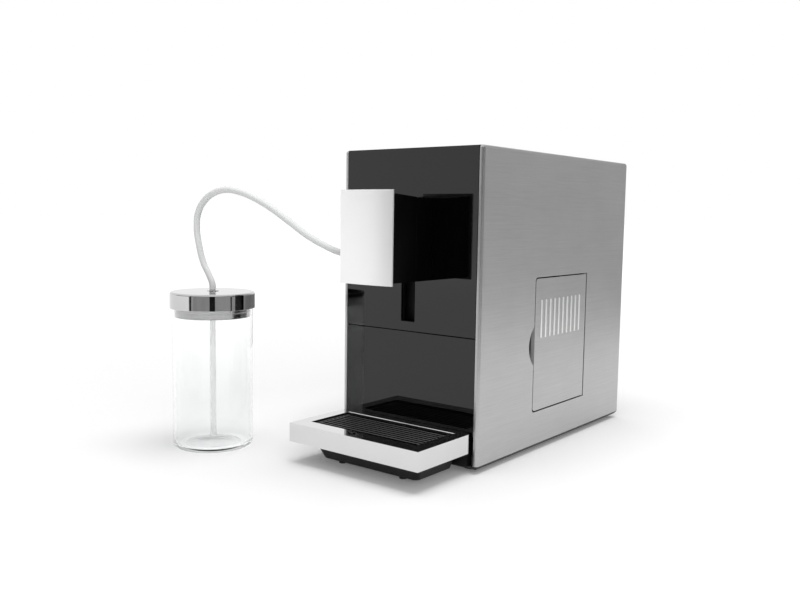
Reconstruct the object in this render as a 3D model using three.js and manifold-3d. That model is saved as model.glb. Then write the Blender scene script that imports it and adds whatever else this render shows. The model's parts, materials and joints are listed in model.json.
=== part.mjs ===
// Bean to cup coffee machine with a drip tray, a height adjustable spout and a glass milk jar.
// Millimetres. X runs to the right seen from the front, Y to the back and Z up.
// While the pieces are made, X = 0 is the cabinet's middle, Y = 0 the face of its front panels
// and Z = 0 the bottom edge of its steel sides.

import * as THREE from "three";
import { mergeVertices } from "three/addons/utils/BufferGeometryUtils.js";
import Module from "manifold-3d";

const wasm = await Module();
wasm.setup();

// General
const clearance = 0.3; // between pieces that rest on each other or lie side by side
const running_gap = 0.6; // round a piece that moves past another
const bite = 0.6; // how far bodies joined into one piece reach into each other
const overrun = 3; // how far a cut runs past the faces that it opens
const weld_distance = 0.0001;
const arc_steps = 5; // straight steps in a quarter turn of a rounded corner
const round_steps = 28; // sides of a round piece
const small_round_steps = 14; // sides of a slim round piece
const wide_round_steps = 36; // sides of the jar and its lid

// Cabinet
const cabinet_width = 180;
const cabinet_depth = 332;
const side_height = 319;
const sheet = 1.5; // steel of the sides and of the service door
const edge_band = 5; // lip folded round the front and the top of each side
const edge_radius = 3.5;
const panel_thickness = 3; // gloss front panels
const seam_gap = 0.8;
const wall = 2.7; // moulded walls inside the cabinet

// Base and feet
const base_thickness = 3.7;
const base_chamfer = 3.4;
const guide_height = 10; // ribs that the drawer runs between
const guide_thickness = 2.4;
const foot_height = 3.7;
const foot_radius = 9;
const foot_flare = 1.2;
const foot_inset = 20;

// Slot and slide of the spout
const slot_half_width = 8.8;
const spout_travel = 50;
const slot_play = 0.8; // left below the neck at its lowest
const slot_land = 10.2; // of the upper panel between the slot and the seam
const neck_height = 73;
const neck_drop = 129; // of the neck's lower edge below the top of the sides
const slide_plate_half_width = 27.5;
const slide_plate_thickness = 4;
const slide_plate_rim = 5; // how far the plate reaches above and below the neck
const rod_radius = 2.5;
const rod_spacing = 22; // from the middle to each guide rod
const rod_boss = 8;
const channel_wall = 2;

// Spout
const cover_half_width = 33.4;
const cover_height = 92.4;
const cover_drop = 8.4; // of the cover's lower edge below the neck's
const cover_front = 68.9; // reach of the cover's upright edges in front of the panel
const cover_bulge = 3;
const cover_edge = 2;
const cover_arc_steps = 14;
const body_half_width = 29.8;
const body_drop = 6; // of the body's lower edge below the neck's
const body_step_reach = 26.5; // the rear block of the body is this deep
const body_rise = 3; // of the rear block's top above the neck's
const body_step = 2;
const body_front_rise = 3;
const body_foot_lip = 1.2;
const nozzle_radius = 4.6;
const nozzle_bore = 2.6;
const nozzle_spacing = 12;
const nozzle_reach = 46;
const nozzle_length = 12;
const nozzle_drop = 1.9; // how far a nozzle stands out below the body

// Milk hose and its fitting
const hose_radius = 3.5;
const hose_sides = 10;
const hose_steps = 24;
const fitting_reach = 50; // in front of the panel
const fitting_rise = 26; // above the body's lower edge
const fitting_flange_radius = 6.5;
const fitting_flange = 3;
const fitting_length = 7;
const barb_radius = 3.1;

// Milk jar
const jar_x = -199;
const jar_y = -95;
const jar_radius = 43.5;
const jar_height = 160;
const jar_wall = 2;
const jar_floor = 3.5;
const jar_corner = 5;
const lid_radius = 46;
const lid_height = 18;
const lid_rise = 11.4; // from the jar's rim to the top of the lid
const lid_wall = 1.2;
const lid_bevel = 1.6;
const plug_depth = 9.4; // of the plug below the lid's skirt
const plug_wall = 1.4;
const pipe_radius = 3.6;
const pipe_bore = 2.1;
const pipe_stand = 2; // above the lid
const pipe_lift = 6; // above the jar's floor
const lid_boss_radius = 6.5;
const lid_boss_height = 1.2;

// Drip tray
const tray_side_gap = 1; // of the tray behind the front panel's side edges
const tray_reach = 89.5; // in front of the panel
const tray_top = 33.9;
const tray_rim = 19.5; // height of the polished rim
const tray_sheet = 1;
const tray_rear_radius = 6;
const tray_front_radius = 0.8;
const tray_rear_gap = 1; // between the rim and the front panel
const grille_side = 13.7; // from the tray's side to the grille
const grille_front = 71.5;
const grille_rear = 12;
const grille_thickness = 2.6;
const grille_drop = 0.5; // of the grille's top below the rim's
const slot_rows = 9;
const slot_columns = 6;
const slot_length = 19;
const slot_width = 2.9;
const slot_margin = 4.5;
const bowl_wall = 2.2;
const bowl_deck = 2.4;
const bowl_opening_inset = 4;
const bowl_half_width = 62; // at the bottom of the bowl
const bowl_front = 62;
const bowl_depth = 18.9; // from the lower edge of the rim down
const bowl_flare = 8;
const bowl_corner = 6;
const bowl_nub_radius = 4;
const bowl_nub_spacing = 40;
const bowl_nub_reach = 55;

// Drawer behind the tray
const pan_side_gap = 4.7; // of the pan behind the front panel's side edges
const pan_rear_gap = 12.3; // from the pan to the mid wall
const pan_height = 24;
const drawer_plate_drop = 4; // of the plate behind the lower front panel
const container_gap = 2.2; // from the container to the divider
const container_height = 112;
const container_half_width = 62;
const container_wall = 1.8;
const container_corner = 10;
const front_skirt_bottom = 30; // lower edge of the lower front panel

// Service door in the right side
const door_width = 122;
const door_rear_gap = 5.2; // from the door to the mid wall
const door_bottom = 37;
const door_top_gap = 6.2; // from the door to the deck
const door_gap = 0.6;
const door_corner = 4;
const liner_depth = 4.6;
const liner_margin = 5.3;
const hinge_radius = 2.6;
const hinge_pin_radius = 0.8;
const hinge_pin_length = 4;
const hinge_play = 0.2;
const frame_depth = 8.4;
const frame_border = 11;
const scoop_drop = 52.7; // of the scoop's upper end below the door's
const scoop_height = 42.6;
const scoop_reach = 10.4;
const scoop_floor = 1.8;
const louvre_count = 10;
const louvre_front_margin = 12.2; // from the door's front edge
const louvre_rear_margin = 17.3; // from its rear edge
const louvre_drop = 24.3; // of the louvres' upper ends below the door's
const louvre_length = 42;
const louvre_width = 3;
const louvre_height = 0.9;

// Inner walls and the top
const tank_bay_depth = 92.7; // from the mid wall's front to the rear wall's
const upper_bay_height = 125.5; // from the deck's underside to the top cover's
const deck_front = 20;
const divider_x = -26;
const mechanism_depth = 132; // from the divider's front edge to the mid wall
const divider_bottom = 30;
const shelf_top = 144;
const rear_wall_gap = 0.6;
const top_thickness = 3;
const hopper_front = 52;
const hopper_rear = 168;
const hopper_half_width = 60;
const hopper_corner = 10;
const tank_rear_gap = 1.1; // from the tank's opening to the rear wall
const tank_corner = 9;

// Bean hopper, grind knob and grinder
const hopper_wall = 2;
const hopper_rim_drop = 1.2;
const hopper_shoulder = 24; // straight part of the hopper's walls
const hopper_throat_radius = 24;
const hopper_neck = 4;
const hopper_ring_steps = 6;
const lid_lip = 4;
const lid_grip_radius = 11;
const lid_grip_depth = 1.4;
const knob_x = 58;
const knob_y = 30;
const knob_radius = 12;
const knob_ribs = 18;
const knob_rib_depth = 0.9;
const knob_height = 15;
const knob_stem_radius = 4;
const knob_stem_length = 24;
const knob_slot_width = 1.8;
const knob_collar = 2;
const grinder_x = -14;
const grinder_y = 98;
const gear_module = 1.5;
const gear_teeth = 60;
const pinion_teeth = 15;
const gear_thickness = 6;
const tooth_height_share = 2.2;
const tooth_tip_share = 0.11;
const tooth_root_share = 0.3;
const tooth_addendum_share = 0.95;
const case_wall = 2.2;
const case_height = 11.5;
const case_play = 2.4; // round the gears
const shaft_radius = 5;
const pinion_shaft_radius = 2.5;
const shaft_play = 0.8;
const housing_radius = 33;
const housing_wall = 4;
const housing_height = 52;
const housing_floor = 4;
const burr_height = 26;
const burr_foot_radius = 22;
const burr_top_radius = 9;
const burr_gap = 1.2;
const burr_flutes = 12;
const burr_flute_depth = 2;
const flute_sides = 6;
const grinder_motor_radius = 22;
const grinder_motor_height = 60;
const motor_cap_height = 6;
const motor_cap_radius = 15;

// Brewing unit
const brew_x = 30;
const brew_frame_left = -23;
const brew_frame_right = 78;
const brew_frame_depth = 113;
const brew_rear_gap = 9; // from the frame to the mid wall
const chamber_reach = 67; // from the chamber's axis to the frame's rear
const screw_reach = 21; // from the screw's axis to the frame's rear
const brew_frame_bottom = 38;
const brew_top_gap = 6.5; // from the frame to the deck
const brew_plate = 4;
const chamber_radius = 29;
const chamber_bore = 23;
const chamber_floor = 6;
const piston_play = 0.5;
const piston_thickness = 16;
const piston_start = 4; // above the chamber's rim
const stem_radius = 9;
const stem_length = 30;
const crosshead_thickness = 12;
const crosshead_half_width = 11;
const crosshead_play = 13.7; // above the crosshead at its highest
const screw_radius = 4;
const screw_play = 0.6;
const screw_collar_radius = 6.5;
const screw_collar = 3;
const brew_motor_radius = 17;
const brew_motor_height = 40;
const brew_gearbox_height = 14;
const brew_gearbox_half_width = 21;

// Water tank
const tank_wall = 2.2;
const tank_bottom_gap = 1;
const tank_lid_pin_radius = 0.8;
const tank_lid_pin_length = 4;
const tank_lid_notch = 6;
const valve_radius = 7;
const valve_length = 9;
const seat_radius = 12;
const seat_depth = 14;
const seat_x = -40;

// Heater, pump and boards
const heater_width = 38;
const heater_rear_gap = 22; // from the block to the mid wall
const heater_length = 92;
const heater_bottom = 84;
const heater_top_gap = 32.5; // from the block to the deck
const heater_fins = 6;
const heater_fin_depth = 6;
const heater_port_radius = 5;
const heater_port_length = 8;
const heater_corner = 5;
const pump_x = -48;
const pump_radius = 17;
const pump_gap = 5.3; // from the mid wall to the pump
const pump_length = 72;
const pump_foot_width = 44;
const pump_foot_height = 4;
const pump_coil_width = 42;
const pump_coil_length = 34;
const pump_nipple_radius = 4;
const pump_nipple_length = 8;
const board_thickness = 1.6;
const power_board_left = -14;
const power_board_right = 78;
const power_board_bottom = 58;
const power_board_top = 132;
const relay_size = 16;
const capacitor_radius = 7;
const capacitor_length = 18;
const control_board_left = -80;
const control_board_right = -33;
const control_board_rise = 13; // above the seam of the front panels
const control_board_drop = 15.7; // below the walls' upper edge
const chip_size = 14;
const chip_thickness = 2;
const chip_count = 4;

// Mains inlet and switch in the back
const inlet_x = 56;
const inlet_z = 30;
const inlet_width = 27;
const inlet_height = 20;
const inlet_depth = 20;
const inlet_flange = 3;
const inlet_flange_thickness = 2;
const inlet_wall = 2;
const inlet_floor = 4;
const pin_width = 4;
const pin_thickness = 2;
const pin_spacing = 7;
const pin_rise = 2;
const switch_x = 18;
const switch_width = 13;
const switch_radius = 11; // of the rocker's round ends about its pins
const switch_spread = 0.96; // angle from the middle of the rocker to each end of its face
const switch_waist = 5; // from the pins to the middle of the face
const switch_pivot_depth = 5.6; // of the pins behind the rear panel's face
const switch_pin_radius = 1.4;
const switch_pin_length = 2.2;
const switch_ear = 3;
const vent_count = 8;
const vent_width = 3;
const vent_length = 60;
const vent_pitch = 9;
const vent_bottom = 62;
const vent_left = -66;

// Places worked out from the sizes above
const half_width = cabinet_width / 2;
const inner_half = half_width - sheet;
const panel_half = half_width - edge_band - clearance;
const wall_half = inner_half - clearance;
const base_top = -clearance;
const base_bottom = base_top - base_thickness;
const ground = base_bottom - clearance - foot_height;
const tank_half_width = panel_half - wall;
const tray_half_width = panel_half - tray_side_gap;
const grille_half_width = tray_half_width - grille_side;
const pan_half_width = panel_half - pan_side_gap;
const carrier_front = panel_thickness + clearance;
const carrier_rear = carrier_front + wall;
const top_bottom = side_height - top_thickness;
const walls_top = top_bottom - clearance;
const rear_wall_front = cabinet_depth - rear_wall_gap - wall;
const rear_wall_back = cabinet_depth - rear_wall_gap;
const mid_wall_y = rear_wall_front - tank_bay_depth;
const tank_front = mid_wall_y + wall + clearance;
const tank_rear = rear_wall_front - tank_rear_gap;
const deck_bottom = top_bottom - upper_bay_height;
const deck_top = deck_bottom + wall;
const divider_front = mid_wall_y - mechanism_depth;
const neck_bottom = side_height - neck_drop;
const neck_top = neck_bottom + neck_height;
const slot_bottom = neck_bottom - spout_travel - slot_play;
const seam_height = slot_bottom - slot_land;
const cover_bottom = neck_bottom - cover_drop;
const body_bottom = neck_bottom - body_drop;
const body_rear_top = neck_top + body_rise;
const fitting_height = body_bottom + fitting_rise;
const cover_back = -(cover_front - cover_edge);
const cover_top = cover_bottom + cover_height;
const body_front = cover_back + clearance;
const jar_rim = ground + jar_height;
const lid_top = jar_rim + lid_rise;
const lid_bottom = lid_top - lid_height;
const rim_bottom = tray_top - tray_rim;
const grille_top = tray_top - grille_drop;
const grille_bottom = grille_top - grille_thickness;
const deck_level = grille_bottom - clearance;
const bowl_half = tray_half_width - tray_sheet - clearance;
const bowl_reach = tray_reach - tray_sheet - clearance;
const bowl_bottom = rim_bottom - bowl_depth;
const bowl_rear = tray_rear_gap + tray_sheet + clearance;
const pan_depth = mid_wall_y - pan_rear_gap + bowl_rear;
const door_rear = mid_wall_y - door_rear_gap;
const door_front = door_rear - door_width;
const door_top = deck_bottom - door_top_gap;
const scoop_top = door_top - scoop_drop;
const scoop_bottom = scoop_top - scoop_height;
const louvre_front = door_front + louvre_front_margin;
const louvre_rear = door_rear - louvre_rear_margin;
const louvre_top = door_top - louvre_drop;
const louvre_bottom = louvre_top - louvre_length;
const hinge_x = half_width - hinge_radius;
const hinge_y = door_rear - hinge_radius;
const skin_back = half_width - sheet;
const liner_outer = skin_back - clearance;
const liner_inner = liner_outer - liner_depth;
const frame_inner = liner_outer - frame_depth;
const gear_radius = (gear_module * gear_teeth) / 2;
const pinion_radius = (gear_module * pinion_teeth) / 2;
const pinion_y = grinder_y + gear_radius + pinion_radius;
const gear_bottom = deck_top + running_gap;
const case_bottom = deck_top + clearance;
const case_top = case_bottom + case_height;
const housing_bottom = case_top + clearance;
const housing_top = housing_bottom + housing_height;
const drawer_plate_front = panel_thickness + clearance;
const container_front = drawer_plate_front + bowl_wall + clearance;
const container_back = divider_front - container_gap;
const brew_frame_rear = mid_wall_y - brew_rear_gap;
const brew_frame_front = brew_frame_rear - brew_frame_depth;
const brew_frame_top = deck_bottom - brew_top_gap;
const brew_y = brew_frame_rear - chamber_reach;
const brew_screw_y = brew_frame_rear - screw_reach;
const crosshead_top = brew_frame_top - brew_plate - crosshead_play;
const crosshead_bottom = crosshead_top - crosshead_thickness;
const piston_bottom = crosshead_bottom - stem_length - piston_thickness;
const chamber_bottom = brew_frame_bottom + brew_plate + clearance;
const chamber_top = piston_bottom - piston_start;
const heater_rear = mid_wall_y - heater_rear_gap;
const heater_front = heater_rear - heater_length;
const heater_top = deck_bottom - heater_top_gap;
const pump_front = mid_wall_y + wall + pump_gap;
const control_board_bottom = seam_height + control_board_rise;
const control_board_top = walls_top - control_board_drop;
const inlet_back = rear_wall_back + clearance + inlet_flange_thickness;

const pieces = [];

// Closed solid of a geometry, with its shared corners merged and its faces turned outwards.
function solid(geometry) {
  const bare = geometry.clone();
  bare.deleteAttribute("normal");
  bare.deleteAttribute("uv");
  const welded = mergeVertices(bare, weld_distance);
  const corners = welded.getIndex().array;
  const places = welded.getAttribute("position");
  const faces = [];
  const a = new THREE.Vector3();
  const b = new THREE.Vector3();
  const c = new THREE.Vector3();
  let volume = 0;
  for (let i = 0; i < corners.length; i += 3) {
    const [p, q, r] = [corners[i], corners[i + 1], corners[i + 2]];
    if (p === q || q === r || r === p) continue;
    a.fromBufferAttribute(places, p);
    b.fromBufferAttribute(places, q);
    c.fromBufferAttribute(places, r);
    volume += a.dot(b.cross(c));
    faces.push([p, q, r]);
  }
  if (volume < 0) faces.forEach((face) => face.reverse());
  const mesh = new wasm.Mesh({
    numProp: 3,
    vertProperties: new Float32Array(places.array),
    triVerts: new Uint32Array(faces.flat()),
  });
  return new wasm.Manifold(mesh);
}

function join(first, ...others) {
  return others.reduce((whole, piece) => whole.add(piece), first);
}

function cut(first, ...others) {
  return others.reduce((whole, piece) => whole.subtract(piece), first);
}

function add_piece(name, shape, material) {
  const { vertProperties, triVerts } = shape.getMesh();
  const geometry = new THREE.BufferGeometry();
  geometry.setAttribute("position", new THREE.BufferAttribute(vertProperties, 3));
  geometry.setIndex(new THREE.BufferAttribute(triVerts, 1));
  geometry.computeVertexNormals();
  const piece = new THREE.Mesh(geometry, material);
  piece.name = name;
  pieces.push(piece);
  return piece;
}

// Block between two places on each axis
function block(x0, x1, y0, y1, z0, z1) {
  const geometry = new THREE.BoxGeometry(x1 - x0, y1 - y0, z1 - z0);
  return solid(geometry.translate((x0 + x1) / 2, (y0 + y1) / 2, (z0 + z1) / 2));
}

function extruded(shape, depth, steps = arc_steps) {
  return new THREE.ExtrudeGeometry(shape, { depth, bevelEnabled: false, curveSegments: steps });
}

// Outline in X and Y, carried up from z0 to z1
function upright(shape, z0, z1, steps) {
  return solid(extruded(shape, z1 - z0, steps).translate(0, 0, z0));
}

// Outline in X and Z, carried back from y0 to y1
function crosswise(shape, y0, y1, steps) {
  return solid(extruded(shape, y1 - y0, steps).rotateX(Math.PI / 2).translate(0, y1, 0));
}

// Outline in Y and Z, carried across from x0 to x1
function sideways(shape, x0, x1, steps) {
  const turn = new THREE.Matrix4().makeBasis(
    new THREE.Vector3(0, 1, 0),
    new THREE.Vector3(0, 0, 1),
    new THREE.Vector3(1, 0, 0),
  );
  return solid(extruded(shape, x1 - x0, steps).applyMatrix4(turn).translate(x0, 0, 0));
}

function outline(points) {
  return new THREE.Shape(points.map(([u, v]) => new THREE.Vector2(u, v)));
}

// Rectangle whose four corners have radii, starting at low u, low v and going round
function rounded(u0, u1, v0, v1, radii) {
  const [a, b, c, d] = Array.isArray(radii) ? radii : [radii, radii, radii, radii];
  const quarter = Math.PI / 2;
  const shape = new THREE.Shape();
  shape.moveTo(u0 + a, v0);
  shape.lineTo(u1 - b, v0);
  if (b > 0) shape.absarc(u1 - b, v0 + b, b, -quarter, 0, false);
  shape.lineTo(u1, v1 - c);
  if (c > 0) shape.absarc(u1 - c, v1 - c, c, 0, quarter, false);
  shape.lineTo(u0 + d, v1);
  if (d > 0) shape.absarc(u0 + d, v1 - d, d, quarter, Math.PI, false);
  shape.lineTo(u0, v0 + a);
  if (a > 0) shape.absarc(u0 + a, v0 + a, a, Math.PI, Math.PI + quarter, false);
  return shape;
}

// Profile of [radius, height] points turned round an upright axis
function turned(points, x, y, steps = round_steps) {
  const profile = points.map(([radius, height]) => new THREE.Vector2(radius, height));
  return solid(new THREE.LatheGeometry(profile, steps).rotateX(Math.PI / 2).translate(x, y, 0));
}

function rod(radius, x, y, z0, z1, steps = round_steps) {
  return turned([[0, z0], [radius, z0], [radius, z1], [0, z1]], x, y, steps);
}

// Round bar along X
function cross_rod(radius, x0, x1, y, z, steps = small_round_steps) {
  const bar = new THREE.CylinderGeometry(radius, radius, x1 - x0, steps);
  return solid(bar.rotateZ(Math.PI / 2).translate((x0 + x1) / 2, y, z));
}

// Round bar along Y
function long_rod(radius, x, y0, y1, z, steps = small_round_steps) {
  const bar = new THREE.CylinderGeometry(radius, radius, y1 - y0, steps);
  return solid(bar.translate(x, (y0 + y1) / 2, z));
}

// Ring of points of a rounded rectangle at one height; a full radius gives a circle
function corner_ring(x0, x1, y0, y1, radius, z) {
  const ring = [];
  const centres = [
    [x1 - radius, y1 - radius],
    [x0 + radius, y1 - radius],
    [x0 + radius, y0 + radius],
    [x1 - radius, y0 + radius],
  ];
  centres.forEach(([cx, cy], quarter) => {
    for (let step = 0; step <= hopper_ring_steps; step += 1) {
      const angle = ((quarter + step / hopper_ring_steps) * Math.PI) / 2;
      ring.push(new THREE.Vector3(cx + radius * Math.cos(angle), cy + radius * Math.sin(angle), z));
    }
  });
  return ring;
}

// Solid whose skin runs through rings of equally many points
function lofted(rings) {
  const count = rings[0].length;
  const places = rings.flat().flatMap((point) => point.toArray());
  const faces = [];
  for (let level = 0; level + 1 < rings.length; level += 1) {
    for (let i = 0; i < count; i += 1) {
      const low = level * count + i;
      const next = level * count + ((i + 1) % count);
      faces.push(low, next, next + count, low, next + count, low + count);
    }
  }
  const last = (rings.length - 1) * count;
  for (let i = 1; i + 1 < count; i += 1) {
    faces.push(0, i + 1, i, last, last + i, last + i + 1);
  }
  const geometry = new THREE.BufferGeometry();
  geometry.setAttribute("position", new THREE.Float32BufferAttribute(places, 3));
  geometry.setIndex(faces);
  return solid(geometry);
}

function finish(color, roughness, metalness, opacity = 1) {
  const transparent = opacity < 1;
  return new THREE.MeshStandardMaterial({ color, roughness, metalness, opacity, transparent });
}

const brushed_steel = () => finish(0xa9a9a7, 0.36, 1);
const gloss_black = () => finish(0x0a0a0b, 0.06, 0);
const satin_black = () => finish(0x141414, 0.5, 0);
const grey_moulding = () => finish(0x3a3b3d, 0.6, 0);
const satin_silver = () => finish(0xd6d6d6, 0.32, 1);
const polished_chrome = () => finish(0xe2e3e4, 0.06, 1);
const clear_glass = () => finish(0xeef2f2, 0.04, 0, 0.3);
const smoked_plastic = () => finish(0x4a4f54, 0.12, 0, 0.5);
const clear_silicone = () => finish(0xe9ebec, 0.35, 0, 0.7);
const dark_rubber = () => finish(0x101010, 0.85, 0);
const cast_aluminium = () => finish(0xb4b6b8, 0.5, 1);
const turned_steel = () => finish(0xbcbec0, 0.28, 1);
const white_moulding = () => finish(0xe6e6e2, 0.45, 0);
const board_green = () => finish(0x1f5b38, 0.55, 0);

// Shell of a side: a sheet folded round the front and the top, seen from its outer face
function side_shell(side) {
  function bent(inset) {
    const outer = half_width - inset;
    const inner = half_width - edge_band - (inset > 0 ? overrun : 0);
    const radius = edge_radius - inset;
    const front = inset;
    const back = cabinet_depth + (inset > 0 ? overrun : 0);
    const low = inset > 0 ? -overrun : 0;
    const plan = rounded(inner, outer, front, back, [0, radius, 0, 0]);
    const end = rounded(inner, outer, low, side_height - inset, [0, 0, radius, 0]);
    return upright(plan, low, side_height - inset).intersect(crosswise(end, front, back));
  }
  const shell = cut(bent(0), bent(sheet));
  return side > 0 ? shell : shell.mirror([1, 0, 0]);
}

function door_opening(depth_inner, depth_outer) {
  const front = door_front - door_gap;
  const rear = door_rear + door_gap;
  const low = door_bottom - door_gap;
  const high = door_top + door_gap;
  const radii = [door_corner, 0, 0, door_corner];
  return sideways(rounded(front, rear, low, high, radii), depth_inner, depth_outer);
}

// Bow in front of the door, where a finger takes hold of its edge
function scoop(depth_inner, depth_outer, margin) {
  const half = (scoop_top - scoop_bottom) / 2;
  const middle = (scoop_top + scoop_bottom) / 2;
  const radius = (half * half + scoop_reach * scoop_reach) / (2 * scoop_reach);
  const spread = Math.asin(half / radius);
  const centre = door_front - door_gap - scoop_reach + radius;
  const shape = new THREE.Shape();
  shape.moveTo(door_front + liner_margin + margin, scoop_bottom - margin);
  shape.absarc(centre, middle, radius + margin, Math.PI + spread, Math.PI - spread, true);
  shape.lineTo(door_front + liner_margin + margin, scoop_top + margin);
  return sideways(shape, depth_inner, depth_outer, arc_steps * 2);
}

function make_sides() {
  add_piece("side_panel_left", side_shell(-1), brushed_steel());
  const deep = half_width - edge_band;
  const opened = cut(
    side_shell(1),
    door_opening(deep, half_width + overrun),
    scoop(deep, half_width + overrun, 0),
  );
  add_piece("side_panel_right", opened, brushed_steel());
}

function make_base() {
  const half = half_width - clearance;
  const [front, back] = [clearance, cabinet_depth - clearance];
  const across = outline([
    [-half, base_top], [-half, base_bottom + base_chamfer], [base_chamfer - half, base_bottom],
    [half - base_chamfer, base_bottom], [half, base_bottom + base_chamfer], [half, base_top],
  ]);
  const along = outline([
    [front, base_top], [front, base_bottom + base_chamfer], [front + base_chamfer, base_bottom],
    [back, base_bottom], [back, base_top],
  ]);
  const plate = crosswise(across, front, back).intersect(sideways(along, -half, half));
  const guide_inner = pan_half_width + running_gap;
  const guides = [-1, 1].map((side) => {
    const ends = [side * guide_inner, side * (guide_inner + guide_thickness)].sort((p, q) => p - q);
    const rear = bowl_rear + pan_depth;
    return block(...ends, carrier_front, rear, base_top - bite, guide_height);
  });
  add_piece("base_pan", join(plate, ...guides), satin_black());
}

function make_feet() {
  const low = ground;
  const high = base_bottom - clearance;
  const places = {
    front_left: [-1, foot_inset],
    front_right: [1, foot_inset],
    rear_left: [-1, cabinet_depth - foot_inset],
    rear_right: [1, cabinet_depth - foot_inset],
  };
  for (const [place, [side, y]] of Object.entries(places)) {
    const foot = turned(
      [[0, low], [foot_radius - foot_flare, low], [foot_radius, high], [0, high]],
      side * (half_width - foot_inset), y,
    );
    add_piece(`foot_${place}`, foot, dark_rubber());
  }
}

function make_front() {
  const low = seam_height + seam_gap / 2;
  const high = side_height - clearance;
  const slot_top = neck_top + running_gap;
  const slot = block(
    -slot_half_width, slot_half_width, -overrun, carrier_rear + overrun, slot_bottom, slot_top,
  );
  const panel = cut(block(-panel_half, panel_half, 0, panel_thickness, low, high), slot);
  add_piece("upper_front_panel", panel, gloss_black());

  const plate = block(-wall_half, wall_half, carrier_front, carrier_rear, low, walls_top);
  const boss_back = carrier_rear + rod_boss;
  const bosses = [-1, 1].flatMap((side) => {
    const x = side * rod_spacing;
    const [left, right] = [x - rod_boss / 2, x + rod_boss / 2];
    return [
      block(left, right, carrier_front, boss_back, low, low + rod_boss / 2),
      block(left, right, carrier_front, boss_back, walls_top - rod_boss / 2, walls_top),
    ];
  });
  add_piece("front_carrier", cut(join(plate, ...bosses), slot), satin_black());
}

// Channel behind the slot, in which the slide's plate runs
function make_slide_channel() {
  const inner = slide_plate_half_width + running_gap;
  const outer = inner + channel_wall;
  const front = carrier_rear + clearance;
  const inner_back = carrier_rear + rod_boss + clearance;
  const plan = outline([
    [-outer, front], [-inner, front], [-inner, inner_back], [inner, inner_back], [inner, front],
    [outer, front], [outer, inner_back + channel_wall], [-outer, inner_back + channel_wall],
  ]);
  const channel = upright(plan, seam_height + seam_gap / 2, walls_top);
  add_piece("slide_channel", channel, satin_black());
}

// Neck that ties the spout through the slot to a plate on two guide rods
function make_spout_slide() {
  const half = slot_half_width - running_gap;
  const plate_front = carrier_rear + running_gap;
  const plate_back = plate_front + slide_plate_thickness;
  const low = neck_bottom - slide_plate_rim;
  const high = neck_top + slide_plate_rim;
  const neck = block(-half, half, -clearance, plate_back, neck_bottom, neck_top);
  const plate = block(
    -slide_plate_half_width, slide_plate_half_width, plate_front, plate_back, low, high,
  );
  const rod_y = carrier_rear + rod_boss / 2;
  const bores = [-1, 1].map((side) =>
    rod(rod_radius + clearance, side * rod_spacing, rod_y, low - overrun, high + overrun,
      small_round_steps));
  add_piece("spout_slide", cut(join(neck, plate), ...bores), satin_black());
  const rod_low = seam_height + seam_gap / 2 + rod_boss / 2 + clearance;
  const rod_high = walls_top - rod_boss / 2 - clearance;
  for (const [name, side] of [["left", -1], ["right", 1]]) {
    const guide = rod(rod_radius, side * rod_spacing, rod_y, rod_low, rod_high, small_round_steps);
    add_piece(`guide_rod_${name}`, guide, turned_steel());
  }
}

// Body of the spout: its top falls to the back, steps down and runs on to the panel
function make_spout_body() {
  const back = -clearance - running_gap / 2;
  const front_top = body_rear_top + body_step + body_front_rise;
  const profile = outline([
    [body_front, body_bottom], [back, body_bottom], [back, body_rear_top],
    [-body_step_reach, body_rear_top], [-body_step_reach, body_rear_top + body_step],
    [body_front, front_top],
  ]);
  const hull = sideways(profile, -body_half_width, body_half_width);
  const hollow = block(
    body_foot_lip - body_half_width, body_half_width - body_foot_lip,
    body_front + body_foot_lip, back - body_foot_lip,
    body_bottom - overrun, body_bottom + body_foot_lip,
  );
  const holes = [-1, 1].map((side) =>
    rod(nozzle_radius + clearance, side * nozzle_spacing, -nozzle_reach,
      body_bottom - overrun, body_bottom - nozzle_drop + nozzle_length + clearance));
  add_piece("spout_body", cut(hull, hollow, ...holes), satin_black());
  for (const [name, side] of [["left", -1], ["right", 1]]) {
    const low = body_bottom - nozzle_drop;
    const high = low + nozzle_length;
    const nozzle = turned(
      [[nozzle_bore, low], [nozzle_radius, low], [nozzle_radius, high], [nozzle_bore, high],
        [nozzle_bore, low]],
      side * nozzle_spacing, -nozzle_reach,
    );
    add_piece(`coffee_nozzle_${name}`, nozzle, satin_black());
  }
}

// Front cover: flat behind, bowed about an upright axis in front, with square edges
function make_spout_cover() {
  const radius = (cover_half_width ** 2 + cover_bulge ** 2) / (2 * cover_bulge);
  const spread = Math.asin(cover_half_width / radius);
  const centre = -cover_front - cover_bulge + radius;
  const down = -Math.PI / 2;
  const shape = new THREE.Shape();
  shape.moveTo(cover_half_width, cover_back);
  shape.lineTo(-cover_half_width, cover_back);
  shape.absarc(0, centre, radius, down - spread, down + spread, false);
  add_piece(
    "spout_cover", upright(shape, cover_bottom, cover_top, cover_arc_steps), satin_silver(),
  );
}

function make_milk_fitting() {
  const root = -body_half_width - clearance;
  const fitting = join(
    cross_rod(fitting_flange_radius, root - fitting_flange, root, -fitting_reach, fitting_height),
    cross_rod(barb_radius, root - fitting_length, root, -fitting_reach, fitting_height),
  );
  add_piece("milk_fitting", fitting, satin_black());
}

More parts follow.
